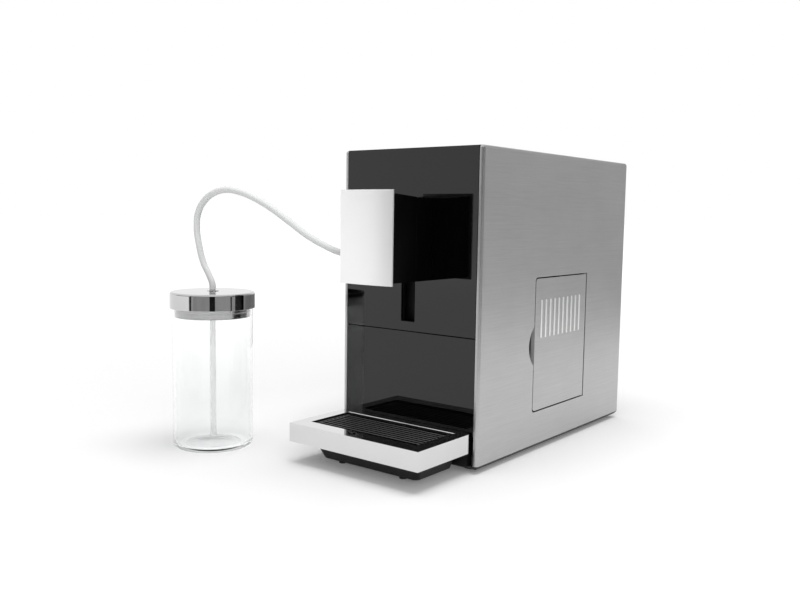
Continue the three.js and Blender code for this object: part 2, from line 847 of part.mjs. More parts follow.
// Hose from the spout's fitting over a free loop down to the pipe in the jar's lid
function make_milk_hose() {
  const start_x = -body_half_width - clearance - fitting_length - clearance;
  const end_z = lid_top + pipe_stand + clearance;
  const route = [
    [start_x, -fitting_reach, fitting_height],
    [-40.5, -50, 210],
    [-51, -52, 211.4],
    [-65, -57, 217.2],
    [-83, -63, 226.5],
    [-104, -70, 241],
    [-126, -76, 255.4],
    [-148, -82, 266.6],
    [-164, -86, 272],
    [-180, -90, 274.4],
    [-197, -94, 270.8],
    [-209.5, -96.5, 262.6],
    [-217.5, -98.5, 250.4],
    [-219.5, -99.5, 234],
    [-216.5, -99, 214],
    [-210.5, -97.8, 194],
    [-203.2, -96.1, 181],
    [-199, -95, 170.8],
    [jar_x, jar_y, end_z],
  ];
  const path = new THREE.CatmullRomCurve3(route.map((place) => new THREE.Vector3(...place)));
  const section = new THREE.Shape();
  section.absarc(0, 0, hose_radius, 0, Math.PI * 2, false);
  const hose = new THREE.ExtrudeGeometry(section, {
    steps: hose_steps, extrudePath: path, curveSegments: hose_sides,
  });
  add_piece("milk_tube", solid(hose), clear_silicone());
}

function make_milk_jar() {
  const inner = jar_radius - jar_wall;
  const bend = [];
  const inner_bend = [];
  for (let step = 0; step <= arc_steps; step += 1) {
    const angle = (step / arc_steps) * (Math.PI / 2);
    bend.push([
      jar_radius - jar_corner + jar_corner * Math.sin(angle),
      ground + jar_corner - jar_corner * Math.cos(angle),
    ]);
    inner_bend.push([
      inner - jar_corner + jar_corner * Math.cos(angle),
      ground + jar_floor + jar_corner - jar_corner * Math.sin(angle),
    ]);
  }
  const profile = [
    [0, ground], ...bend, [jar_radius, jar_rim], [inner, jar_rim], ...inner_bend,
    [0, ground + jar_floor],
  ];
  add_piece("milk_jar", turned(profile, jar_x, jar_y, wide_round_steps), clear_glass());
}

function make_milk_lid() {
  const hole = pipe_radius + clearance;
  const skirt_inner = lid_radius - lid_wall;
  const under = lid_top - lid_wall;
  const boss = lid_top + lid_boss_height;
  const lid = turned([
    [hole, under], [skirt_inner, under], [skirt_inner, lid_bottom], [lid_radius, lid_bottom],
    [lid_radius, lid_top - lid_bevel], [lid_radius - lid_bevel, lid_top],
    [lid_boss_radius, lid_top], [lid_boss_radius, boss], [hole, boss], [hole, under],
  ], jar_x, jar_y, wide_round_steps);
  add_piece("milk_lid", lid, polished_chrome());

  const plug_outer = jar_radius - jar_wall - clearance;
  const plug_top = under - clearance;
  const plug_low = lid_bottom - plug_depth;
  const plug = turned([
    [hole, plug_low], [plug_outer, plug_low], [plug_outer, plug_top],
    [plug_outer - plug_wall, plug_top], [plug_outer - plug_wall, plug_low + plug_wall],
    [hole, plug_low + plug_wall], [hole, plug_low],
  ], jar_x, jar_y, wide_round_steps);
  add_piece("lid_plug", plug, polished_chrome());

  const pipe_low = ground + jar_floor + pipe_lift;
  const pipe_high = lid_top + pipe_stand;
  const pipe = turned([
    [pipe_bore, pipe_low], [pipe_radius, pipe_low], [pipe_radius, pipe_high],
    [pipe_bore, pipe_high], [pipe_bore, pipe_low],
  ], jar_x, jar_y, small_round_steps);
  add_piece("suction_pipe", pipe, clear_silicone());
}

// Tray and pan in one moulding: a deck under the polished rim, a tapered bowl in front
// and a long pan behind it, with an upright plate that carries the lower front panel
function make_drip_tray() {
  const rim_top = tray_top - tray_sheet - clearance;
  const rear_corner = tray_rear_radius - tray_sheet;
  const outer = upright(
    rounded(-bowl_half, bowl_half, -bowl_reach, -bowl_rear, [0, 0, rear_corner, rear_corner]),
    rim_bottom, rim_top,
  );
  const above_deck = block(
    bowl_wall - bowl_half, bowl_half - bowl_wall, bowl_wall - bowl_reach, -bowl_rear - bowl_wall,
    deck_level, rim_top + overrun,
  );
  function taper(inset, low, high) {
    const spread = (level) => (bowl_flare * (level - bowl_bottom)) / bowl_depth - inset;
    return lofted([low, high].map((level) => corner_ring(
      -bowl_half_width - spread(level), bowl_half_width + spread(level),
      -bowl_front - spread(level), -bowl_rear - inset, bowl_corner, level,
    )));
  }
  const bowl = taper(0, bowl_bottom, rim_bottom + bowl_wall / 2);
  const pan_back = -bowl_rear + pan_depth;
  const pan = block(-pan_half_width, pan_half_width, -bowl_rear - bowl_wall, pan_back, 0, pan_height);
  const under_deck = block(
    bowl_wall - bowl_half, bowl_half - bowl_wall, bowl_wall - bowl_reach, -bowl_rear - bowl_wall,
    rim_bottom + bowl_wall, deck_level - bowl_deck,
  );
  const bowl_hollow = taper(bowl_wall, bowl_bottom + bowl_wall, rim_bottom + bowl_wall * 2);
  const opening = block(
    bowl_opening_inset - grille_half_width, grille_half_width - bowl_opening_inset,
    bowl_opening_inset - grille_front, -grille_rear - bowl_opening_inset,
    rim_bottom + bowl_wall, rim_top + overrun,
  );
  const pan_hollow = block(
    bowl_wall - pan_half_width, pan_half_width - bowl_wall, -bowl_rear, pan_back - bowl_wall,
    bowl_wall, pan_height + overrun,
  );
  const upright_plate = block(
    -pan_half_width, pan_half_width, drawer_plate_front, drawer_plate_front + bowl_wall,
    bowl_wall / 2, seam_height - drawer_plate_drop,
  );
  const nubs = [-1, 1].map((side) => rod(
    bowl_nub_radius, side * bowl_nub_spacing, -bowl_nub_reach, ground + clearance,
    bowl_bottom + bowl_wall / 2, small_round_steps,
  ));
  const shell = cut(
    join(outer, bowl, pan, ...nubs), above_deck, under_deck, bowl_hollow, opening, pan_hollow,
  );
  add_piece("drip_tray", join(shell, upright_plate), satin_black());
}

// Polished rim: a folded sheet with a wide top, sharp in front and rounded at its rear corners
function make_tray_rim() {
  function plan(inset) {
    const front_radius = Math.max(tray_front_radius - inset, 0);
    const rear_radius = tray_rear_radius - inset;
    return rounded(
      inset - tray_half_width, tray_half_width - inset, inset - tray_reach,
      -tray_rear_gap - inset, [front_radius, front_radius, rear_radius, rear_radius],
    );
  }
  const outer = upright(plan(0), rim_bottom, tray_top);
  const inner = upright(plan(tray_sheet), rim_bottom - overrun, tray_top - tray_sheet);
  const opening = block(
    -grille_half_width, grille_half_width, -grille_front, -grille_rear,
    rim_bottom - overrun, tray_top + overrun,
  );
  const rear_notch = block(
    -pan_half_width - running_gap, pan_half_width + running_gap,
    -tray_rear_gap - tray_rear_radius, overrun,
    rim_bottom - overrun, tray_top - tray_sheet - clearance,
  );
  add_piece("tray_rim", cut(outer, inner, opening, rear_notch), polished_chrome());
}

function make_grille() {
  const half = grille_half_width - clearance;
  const [front, rear] = [clearance - grille_front, -grille_rear - clearance];
  const plate = block(-half, half, front, rear, grille_bottom, grille_top);
  const row_pitch = (rear - front - 2 * slot_margin - slot_width) / (slot_rows - 1);
  const column_pitch = (2 * half - 2 * slot_margin - slot_length) / (slot_columns - 1);
  const slots = [];
  for (let row = 0; row < slot_rows; row += 1) {
    for (let column = 0; column < slot_columns; column += 1) {
      const x = -half + slot_margin + column * column_pitch;
      const y = front + slot_margin + row * row_pitch;
      slots.push(block(
        x, x + slot_length, y, y + slot_width, grille_bottom - overrun, grille_top + overrun,
      ));
    }
  }
  add_piece("drip_grille", cut(plate, ...slots), satin_black());
}

function make_grounds_container() {
  const [front, back] = [container_front, container_back];
  const low = bowl_wall + clearance;
  const high = low + container_height;
  const half = container_half_width;
  const radii = [container_wall, container_wall, container_corner, container_corner];
  const outer = upright(rounded(-half, half, front, back, radii), low, high);
  const inner_radii = radii.map((radius) => Math.max(radius - container_wall, 0));
  const inner = upright(
    rounded(container_wall - half, half - container_wall, front + container_wall,
      back - container_wall, inner_radii),
    low + container_wall, high + overrun,
  );
  add_piece("grounds_container", cut(outer, inner), satin_black());
  const panel = block(
    -panel_half, panel_half, 0, panel_thickness, front_skirt_bottom, seam_height - seam_gap / 2,
  );
  add_piece("lower_front_panel", panel, gloss_black());
}

function make_service_door() {
  const skin = sideways(
    rounded(door_front, hinge_y, door_bottom, door_top, [door_corner, 0, 0, door_corner]),
    skin_back, half_width,
  );
  const knuckle = rod(hinge_radius, hinge_x, hinge_y, door_bottom, door_top, small_round_steps);
  const pin = rod(
    hinge_pin_radius, hinge_x, hinge_y, door_bottom - hinge_pin_length,
    door_top + hinge_pin_length, small_round_steps,
  );
  const pitch = (louvre_rear - louvre_front - louvre_width) / (louvre_count - 1);
  const ribs = [];
  for (let i = 0; i < louvre_count; i += 1) {
    const y = louvre_front + i * pitch;
    const profile = outline([
      [skin_back + sheet / 2, y], [half_width, y],
      [half_width + louvre_height, y + louvre_width / 3],
      [half_width + louvre_height, y + (louvre_width * 2) / 3],
      [half_width, y + louvre_width], [skin_back + sheet / 2, y + louvre_width],
    ]);
    ribs.push(upright(profile, louvre_bottom, louvre_top));
  }
  add_piece("service_door", join(skin, knuckle, pin, ...ribs), brushed_steel());

  const liner_rear = hinge_y - hinge_radius - running_gap;
  const plate = block(
    liner_inner, liner_outer, door_front + liner_margin, liner_rear,
    door_bottom + liner_margin, door_top - liner_margin,
  );
  const pocket = block(
    liner_inner - overrun, liner_outer - sheet, door_front + liner_margin * 2,
    liner_rear - liner_margin, door_bottom + liner_margin * 2, door_top - liner_margin * 2,
  );
  const finger_gap = block(
    liner_inner - overrun, liner_outer + overrun, door_front, door_front + liner_margin * 2 - sheet,
    scoop_bottom, scoop_top,
  );
  add_piece("door_liner", cut(plate, pocket, finger_gap), satin_black());
}

// Surround behind the side: carries the door's pins and the pocket behind the scoop
function make_door_frame() {
  const front = door_front - door_gap - scoop_reach - frame_border / 2;
  const rear = mid_wall_y - clearance;
  const low = door_bottom - frame_border;
  const high = deck_bottom - clearance;
  const ring = block(frame_inner, liner_outer, front, rear, low, high);
  const inside = block(
    frame_inner - overrun, liner_outer + overrun, door_front + liner_margin - running_gap,
    door_rear + door_gap, door_bottom - running_gap, door_top + running_gap,
  );
  const pocket = scoop(frame_inner + scoop_floor, liner_outer + overrun, 0);
  const rebate = block(
    liner_outer - hinge_radius * 2, liner_outer + overrun, door_front - door_gap,
    door_front + liner_margin, door_bottom - running_gap, door_top + running_gap,
  );
  const bores = rod(
    hinge_pin_radius + hinge_play, hinge_x, hinge_y,
    door_bottom - hinge_pin_length - running_gap, door_top + hinge_pin_length + running_gap,
    small_round_steps,
  );
  add_piece("door_frame", cut(ring, inside, pocket, rebate, bores), grey_moulding());
}

function make_inner_walls() {
  const mid = block(-wall_half, wall_half, mid_wall_y, mid_wall_y + wall, 0, walls_top);
  add_piece("mid_wall", mid, grey_moulding());

  const plate = block(
    -wall_half, wall_half, deck_front, mid_wall_y - clearance, deck_bottom, deck_top,
  );
  const screw_hole = rod(
    screw_radius + screw_play * 2, brew_x, brew_screw_y, deck_bottom - overrun,
    deck_top + overrun, small_round_steps,
  );
  add_piece("mechanism_deck", cut(plate, screw_hole), grey_moulding());

  const divider = block(
    divider_x, divider_x + wall, divider_front, mid_wall_y - clearance, divider_bottom,
    deck_bottom - clearance,
  );
  add_piece("bay_divider", divider, grey_moulding());
}

function make_tank_shelf() {
  const front = mid_wall_y + wall + clearance;
  const back = rear_wall_front - clearance;
  const plate = block(-wall_half, wall_half, front, back, shelf_top - wall, shelf_top);
  const y = (tank_front + tank_rear) / 2;
  const cup = rod(seat_radius, seat_x, y, shelf_top - seat_depth, shelf_top);
  const bore = rod(
    valve_radius + running_gap, seat_x, y, shelf_top - seat_depth + wall, shelf_top + overrun,
  );
  add_piece("tank_shelf", cut(join(plate, cup), bore), grey_moulding());
}

function make_rear_panel() {
  const plate = block(-wall_half, wall_half, rear_wall_front, rear_wall_back, 0, walls_top);
  const half_w = inlet_width / 2 + clearance;
  const half_h = inlet_height / 2 + clearance;
  const inlet_hole = block(
    inlet_x - half_w, inlet_x + half_w, rear_wall_front - overrun, rear_wall_back + overrun,
    inlet_z - half_h, inlet_z + half_h,
  );
  const switch_half_w = switch_width / 2 + clearance;
  const switch_half_h = switch_radius + running_gap;
  const pivot = rear_wall_back - switch_pivot_depth;
  const ears = [-1, 1].map((side) => {
    const sides = [switch_half_w, switch_half_w + switch_ear].map((reach) => switch_x + side * reach);
    sides.sort((p, q) => p - q);
    return block(
      ...sides, pivot - switch_ear, rear_wall_front + bite, inlet_z - switch_ear, inlet_z + switch_ear,
    );
  });
  const pin_bores = cross_rod(
    switch_pin_radius + hinge_play, switch_x - switch_half_w - switch_ear - overrun,
    switch_x + switch_half_w + switch_ear + overrun, pivot, inlet_z,
  );
  const switch_hole = block(
    switch_x - switch_half_w, switch_x + switch_half_w, rear_wall_front - overrun,
    rear_wall_back + overrun, inlet_z - switch_half_h, inlet_z + switch_half_h,
  );
  const vents = [];
  for (let i = 0; i < vent_count; i += 1) {
    const x = vent_left + i * vent_pitch;
    vents.push(block(
      x, x + vent_width, rear_wall_front - overrun, rear_wall_back + overrun,
      vent_bottom, vent_bottom + vent_length,
    ));
  }
  add_piece(
    "rear_panel", cut(join(plate, ...ears), inlet_hole, switch_hole, pin_bores, ...vents),
    satin_black(),
  );
}

function make_top_cover() {
  const half = panel_half;
  const front = panel_thickness + clearance;
  const back = cabinet_depth - rear_wall_gap;
  const plate = block(-half, half, front, back, top_bottom, side_height);
  const hopper_hole = upright(
    rounded(-hopper_half_width, hopper_half_width, hopper_front, hopper_rear, hopper_corner),
    top_bottom - overrun, side_height + overrun,
  );
  const tank_hole = upright(
    rounded(-tank_half_width, tank_half_width, tank_front, tank_rear, tank_corner),
    top_bottom - overrun, side_height + overrun,
  );
  const floor = side_height - knob_height;
  const collar = rod(
    knob_radius + running_gap + knob_collar, knob_x, knob_y, floor - knob_collar, top_bottom + bite,
  );
  const knob_well = rod(
    knob_radius + running_gap, knob_x, knob_y, floor, side_height + overrun,
  );
  const stem_hole = rod(
    knob_stem_radius + running_gap, knob_x, knob_y, floor - knob_collar - overrun, floor + overrun,
  );
  const cover = cut(join(plate, collar), hopper_hole, tank_hole, knob_well, stem_hole);
  add_piece("top_cover", cover, satin_black());
}

function make_hopper() {
  const [x, y] = [grinder_x, grinder_y];
  const rim = top_bottom - hopper_rim_drop;
  const low = housing_top + clearance;
  function funnel(inset, reach) {
    const half = hopper_half_width - clearance - inset;
    const [front, rear] = [hopper_front + clearance + inset, hopper_rear - clearance - inset];
    const throat = hopper_throat_radius - inset;
    const corner = hopper_corner - inset;
    const circle = (z) => corner_ring(x - throat, x + throat, y - throat, y + throat, throat, z);
    const wide = (z) => corner_ring(-half, half, front, rear, corner, z);
    const rise = inset / 2;
    return lofted([
      circle(low - reach), circle(low + hopper_neck + rise),
      wide(rim - hopper_shoulder + rise), wide(rim + reach),
    ]);
  }
  const shell = cut(funnel(0, 0), funnel(hopper_wall, overrun));
  add_piece("bean_hopper", shell, smoked_plastic());
}

function make_hopper_lid() {
  const half = hopper_half_width - running_gap / 2;
  const front = hopper_front + running_gap / 2;
  const rear = hopper_rear - running_gap / 2;
  const plate = upright(
    rounded(-half, half, front, rear, hopper_corner), top_bottom + clearance, side_height,
  );
  const inset = hopper_wall + running_gap;
  const ring = (margin) => rounded(
    margin - half, half - margin, front + margin, rear - margin, hopper_corner - margin,
  );
  const lip_top = top_bottom + clearance + bite;
  const lip = cut(
    upright(ring(inset), top_bottom - lid_lip, lip_top),
    upright(ring(inset + hopper_wall), top_bottom - lid_lip - overrun, lip_top + overrun),
  );
  const grip = rod(
    lid_grip_radius, 0, rear - lid_grip_radius * 2, side_height - lid_grip_depth,
    side_height + overrun,
  );
  add_piece("hopper_lid", cut(join(plate, lip), grip), satin_black());
}

function make_grind_knob() {
  const shape = new THREE.Shape();
  const count = knob_ribs * 4;
  for (let i = 0; i < count; i += 1) {
    const angle = (i / count) * Math.PI * 2;
    const radius = i % 4 < 2 ? knob_radius : knob_radius - knob_rib_depth;
    const place = [knob_x + radius * Math.cos(angle), knob_y + radius * Math.sin(angle)];
    if (i === 0) shape.moveTo(...place);
    else shape.lineTo(...place);
  }
  const low = side_height - knob_height + clearance;
  const head = upright(shape, low, side_height);
  const stem = rod(
    knob_stem_radius, knob_x, knob_y, low - knob_stem_length, low + bite, small_round_steps,
  );
  const pointer = block(
    knob_x - knob_slot_width / 2, knob_x + knob_slot_width / 2, knob_y,
    knob_y + knob_radius + overrun, side_height - knob_slot_width, side_height + overrun,
  );
  add_piece("grind_knob", cut(join(head, stem), pointer), satin_black());
}

// Spur wheel whose teeth taper from root to tip
function toothed(teeth, x, y, z0, z1, phase) {
  const pitch_radius = (gear_module * teeth) / 2;
  const tip = pitch_radius + gear_module * tooth_addendum_share;
  const root = tip - gear_module * tooth_height_share;
  const pitch = (Math.PI * 2) / teeth;
  const shape = new THREE.Shape();
  const shares = [[-tooth_root_share, root], [-tooth_tip_share, tip], [tooth_tip_share, tip],
    [tooth_root_share, root]];
  for (let i = 0; i < teeth; i += 1) {
    shares.forEach(([share, radius], corner) => {
      const angle = phase + (i + share) * pitch;
      const place = [x + radius * Math.cos(angle), y + radius * Math.sin(angle)];
      if (i === 0 && corner === 0) shape.moveTo(...place);
      else shape.lineTo(...place);
    });
  }
  return upright(shape, z0, z1);
}

function make_grinder() {
  const [x, y] = [grinder_x, grinder_y];
  const gear_top = gear_bottom + gear_thickness;
  const shaft_top = housing_bottom + housing_floor + running_gap;
  const quarter = Math.PI / 2;
  const gear = join(
    toothed(gear_teeth, x, y, gear_bottom, gear_top, quarter + Math.PI / gear_teeth),
    rod(shaft_radius, x, y, gear_top - bite, shaft_top),
  );
  add_piece("grinder_gear", gear, white_moulding());

  const burr_low = shaft_top + clearance;
  const cone = turned([
    [0, burr_low], [burr_foot_radius, burr_low], [burr_foot_radius, burr_low + burr_height / 3],
    [burr_top_radius, burr_low + burr_height], [0, burr_low + burr_height],
  ], x, y);
  const flutes = [];
  for (let i = 0; i < burr_flutes; i += 1) {
    const lean = Math.atan2(burr_foot_radius - burr_top_radius, (burr_height * 2) / 3);
    const groove = new THREE.CylinderGeometry(
      burr_flute_depth, burr_flute_depth, burr_height * 2, flute_sides,
    );
    groove.rotateX(Math.PI / 2);
    groove.rotateY(-lean);
    groove.translate((burr_foot_radius + burr_top_radius) / 2 + burr_flute_depth / 2, 0, 0);
    groove.rotateZ((i / burr_flutes) * Math.PI * 2);
    groove.translate(x, y, burr_low + (burr_height * 2) / 3);
    flutes.push(solid(groove));
  }
  add_piece("burr_cone", cut(cone, ...flutes), turned_steel());

  const bore = burr_foot_radius + burr_gap;
  const throat = hopper_throat_radius - hopper_wall;
  const housing = turned([
    [shaft_radius + shaft_play, housing_bottom], [housing_radius, housing_bottom],
    [housing_radius, housing_top], [throat, housing_top],
    [burr_top_radius + burr_gap * 2, housing_top - housing_wall * 3],
    [burr_top_radius + burr_gap * 2, burr_low + burr_height + burr_gap],
    [bore, burr_low + burr_height / 3 + burr_gap], [bore, housing_bottom + housing_floor],
    [shaft_radius + shaft_play, housing_bottom + housing_floor],
    [shaft_radius + shaft_play, housing_bottom],
  ], x, y);
  add_piece("grinder_housing", housing, cast_aluminium());

  function case_plan(inset) {
    const big = gear_radius + gear_module + case_play + case_wall - inset;
    const small = pinion_radius + gear_module + case_play + case_wall - inset;
    const bearing = Math.acos((big - small) / (pinion_y - y));
    const shape = new THREE.Shape();
    shape.absarc(x, y, big, quarter + bearing, quarter - bearing + Math.PI * 2, false);
    shape.absarc(x, pinion_y, small, quarter - bearing, quarter + bearing, false);
    return shape;
  }
  const shell = cut(
    upright(case_plan(0), case_bottom, case_top, small_round_steps),
    upright(case_plan(case_wall), case_bottom - overrun, case_top - case_wall, small_round_steps),
    rod(shaft_radius + shaft_play, x, y, case_bottom, case_top + overrun),
    rod(pinion_shaft_radius + shaft_play, x, pinion_y, case_bottom, case_top + overrun,
      small_round_steps),
  );
  add_piece("grinder_gearcase", shell, grey_moulding());

  const shaft_end = case_top - case_wall / 2;
  const pinion = join(
    toothed(pinion_teeth, x, pinion_y, gear_bottom, gear_top, -quarter),
    rod(pinion_shaft_radius, x, pinion_y, gear_top - bite, shaft_end, small_round_steps),
  );
  add_piece("motor_pinion", pinion, turned_steel());

  const motor_low = case_top + clearance;
  const cap = motor_low + grinder_motor_height;
  const motor = turned([
    [0, motor_low], [grinder_motor_radius, motor_low], [grinder_motor_radius, cap],
    [motor_cap_radius, cap + motor_cap_height], [0, cap + motor_cap_height],
  ], x, pinion_y);
  add_piece("grinder_motor", motor, turned_steel());
}

function make_brewing_unit() {
  const [x, y] = [brew_x, brew_y];
  const low = brew_frame_bottom;
  const high = brew_frame_top;
  const side = outline([
    [brew_frame_front, low], [brew_frame_rear, low], [brew_frame_rear, high],
    [brew_screw_y - crosshead_half_width * 2, high],
    [brew_screw_y - crosshead_half_width * 2, high - brew_plate],
    [brew_frame_rear - brew_plate, high - brew_plate], [brew_frame_rear - brew_plate, low + brew_plate],
    [brew_frame_front, low + brew_plate],
  ]);
  const frame = cut(
    sideways(side, brew_frame_left, brew_frame_right),
    rod(screw_radius + screw_play, x, brew_screw_y, high - brew_plate - overrun, high + overrun,
      small_round_steps),
  );
  add_piece("brew_frame", frame, grey_moulding());

  const chamber = turned([
    [0, chamber_bottom], [chamber_radius, chamber_bottom], [chamber_radius, chamber_top],
    [chamber_bore, chamber_top], [chamber_bore, chamber_bottom + chamber_floor],
    [0, chamber_bottom + chamber_floor],
  ], x, y);
  add_piece("brew_chamber", chamber, white_moulding());

  const piston_radius = chamber_bore - piston_play;
  const stem_top = crosshead_bottom + crosshead_thickness / 2;
  const piston = join(
    rod(piston_radius, x, y, piston_bottom, piston_bottom + piston_thickness),
    rod(stem_radius, x, y, piston_bottom + piston_thickness / 2, stem_top, small_round_steps),
    block(x - crosshead_half_width, x + crosshead_half_width, y - stem_radius,
      brew_screw_y + crosshead_half_width, crosshead_bottom, crosshead_bottom + crosshead_thickness),
  );
  const nut = rod(
    screw_radius + screw_play, x, brew_screw_y, crosshead_bottom - overrun,
    crosshead_bottom + crosshead_thickness + overrun, small_round_steps,
  );
  add_piece("brew_piston", cut(piston, nut), white_moulding());

  const foot = low + brew_plate + clearance;
  const screw = join(
    rod(screw_radius, x, brew_screw_y, foot, deck_top - clearance, small_round_steps),
    rod(screw_collar_radius, x, brew_screw_y, foot, foot + screw_collar, small_round_steps),
  );
  add_piece("brew_screw", screw, turned_steel());

  const box_low = deck_top + clearance;
  const box_high = box_low + brew_gearbox_height;
  const half = brew_gearbox_half_width;
  const motor = join(
    block(x - half, x + half, brew_screw_y - half, brew_screw_y + half, box_low, box_high),
    rod(brew_motor_radius, x, brew_screw_y, box_high - bite, box_high + brew_motor_height),
  );
  add_piece("brew_motor", motor, grey_moulding());
}

function make_tank() {
  const gap = running_gap;
  const half = tank_half_width - gap;
  const [front, rear] = [tank_front + gap, tank_rear - gap];
  const low = shelf_top + tank_bottom_gap;
  const high = top_bottom - gap;
  const y = (tank_front + tank_rear) / 2;
  const outer = upright(rounded(-half, half, front, rear, tank_corner), low, high);
  const inner = upright(
    rounded(tank_wall - half, half - tank_wall, front + tank_wall, rear - tank_wall,
      tank_corner - tank_wall),
    low + tank_wall, high + overrun,
  );
  const valve = rod(valve_radius, seat_x, y, low - valve_length, low + tank_wall / 2);
  const knuckle = top_thickness / 2;
  const hinge_line = [tank_rear - clearance - knuckle, side_height - knuckle];
  const post_left = half - tank_corner;
  const posts = [-1, 1].map((side) => {
    const ends = [side * post_left, side * (post_left - tank_lid_notch + running_gap * 2)];
    ends.sort((p, q) => p - q);
    return block(...ends, rear - tank_wall, rear, high - tank_wall, side_height);
  });
  const bores = cross_rod(
    tank_lid_pin_radius + hinge_play, -half, half, ...hinge_line,
  );
  const tank = cut(join(cut(outer, inner), valve, ...posts), bores);
  add_piece("water_tank", tank, smoked_plastic());

  const lid_half = tank_half_width - clearance;
  const lid_rear = tank_rear - clearance;
  const full = upright(
    rounded(-lid_half, lid_half, tank_front + clearance, lid_rear, tank_corner),
    top_bottom, side_height,
  );
  const inside = post_left - tank_lid_notch;
  const rear_cuts = [
    block(-lid_half - overrun, -inside, lid_rear - tank_lid_notch, lid_rear + overrun,
      top_bottom - overrun, side_height + overrun),
    block(inside, lid_half + overrun, lid_rear - tank_lid_notch, lid_rear + overrun,
      top_bottom - overrun, side_height + overrun),
    block(-lid_half, lid_half, lid_rear - knuckle, lid_rear + overrun,
      top_bottom - overrun, side_height + overrun),
  ];
  const plate = join(
    cut(full, ...rear_cuts),
    cross_rod(knuckle, -inside, inside, ...hinge_line),
    cross_rod(tank_lid_pin_radius, -inside - tank_lid_pin_length, inside + tank_lid_pin_length,
      ...hinge_line),
  );
  const grip = rod(
    lid_grip_radius, 0, tank_front + lid_grip_radius * 2, side_height - lid_grip_depth,
    side_height + overrun,
  );
  add_piece("tank_lid", cut(plate, grip), satin_black());
}

function make_heater() {
  const right = divider_x - clearance;
  const left = right - heater_width;
  const [rear, top] = [heater_rear, heater_top];
  const core = sideways(
    rounded(heater_front, rear, heater_bottom, top, heater_corner), left, right,
  );
  const gap = heater_length / (heater_fins * 2 + 1);
  const grooves = [];
  for (let i = 0; i < heater_fins; i += 1) {
    const y = heater_front + gap * (2 * i + 1);
    grooves.push(block(
      left - overrun, left + heater_fin_depth, y, y + gap, heater_bottom - overrun, top + overrun,
    ));
  }
  const x = (left + right) / 2;
  const port_margin = (top - heater_bottom) / 4;
  const ports = [heater_bottom + port_margin, top - port_margin].map((z) =>
    long_rod(heater_port_radius, x, rear - bite, rear + heater_port_length, z));
  add_piece("heater_block", join(cut(core, ...grooves), ...ports), cast_aluminium());
}

function make_pump() {
  const rear = pump_front + pump_length;
  const z = pump_foot_height + pump_coil_width / 2;
  const coil_front = pump_front + (pump_length - pump_coil_length) / 2;
  const coil_half = pump_coil_width / 2;
  const pump = join(
    block(pump_x - pump_foot_width / 2, pump_x + pump_foot_width / 2, pump_front, rear, 0,
      pump_foot_height),
    block(pump_x - coil_half, pump_x + coil_half, coil_front, coil_front + pump_coil_length,
      pump_foot_height / 2, z + coil_half),
    long_rod(pump_radius, pump_x, pump_front, rear, z, round_steps),
    long_rod(pump_nipple_radius, pump_x, rear - bite, rear + pump_nipple_length, z),
  );
  add_piece("water_pump", pump, grey_moulding());
}

function make_boards() {
  const front = mid_wall_y + wall + clearance;
  const back = front + board_thickness;
  const [left, low] = [power_board_left, power_board_bottom];
  const step = relay_size * 1.5;
  const relays = [0, 1, 2].map((i) => block(
    left + chip_thickness + i * step, left + chip_thickness + i * step + relay_size,
    front + board_thickness / 2, back + relay_size, low + chip_thickness,
    low + chip_thickness + relay_size,
  ));
  const capacitor_z = power_board_top - capacitor_radius - chip_thickness;
  const capacitors = [1, 3].map((i) => long_rod(
    capacitor_radius, left + i * step / 2 + capacitor_radius, front + board_thickness / 2,
    back + capacitor_length, capacitor_z,
  ));
  const power = join(
    block(left, power_board_right, front, back, low, power_board_top), ...relays, ...capacitors,
  );
  add_piece("power_board", power, board_green());

  const face = carrier_rear + clearance;
  const board = block(
    control_board_left, control_board_right, face, face + board_thickness,
    control_board_bottom, control_board_top,
  );
  const middle = (control_board_left + control_board_right) / 2;
  const board_height = control_board_top - control_board_bottom;
  const chip_pitch = (board_height - chip_count * chip_size) / (chip_count - 1);
  const chips = Array.from({ length: chip_count }, (_, i) => {
    const z = control_board_bottom + chip_size + i * chip_pitch;
    return block(
      middle - chip_size / 2, middle + chip_size / 2, face + board_thickness / 2,
      face + board_thickness + chip_thickness, z, z + chip_size,
    );
  });
  add_piece("control_board", join(board, ...chips), board_green());
}

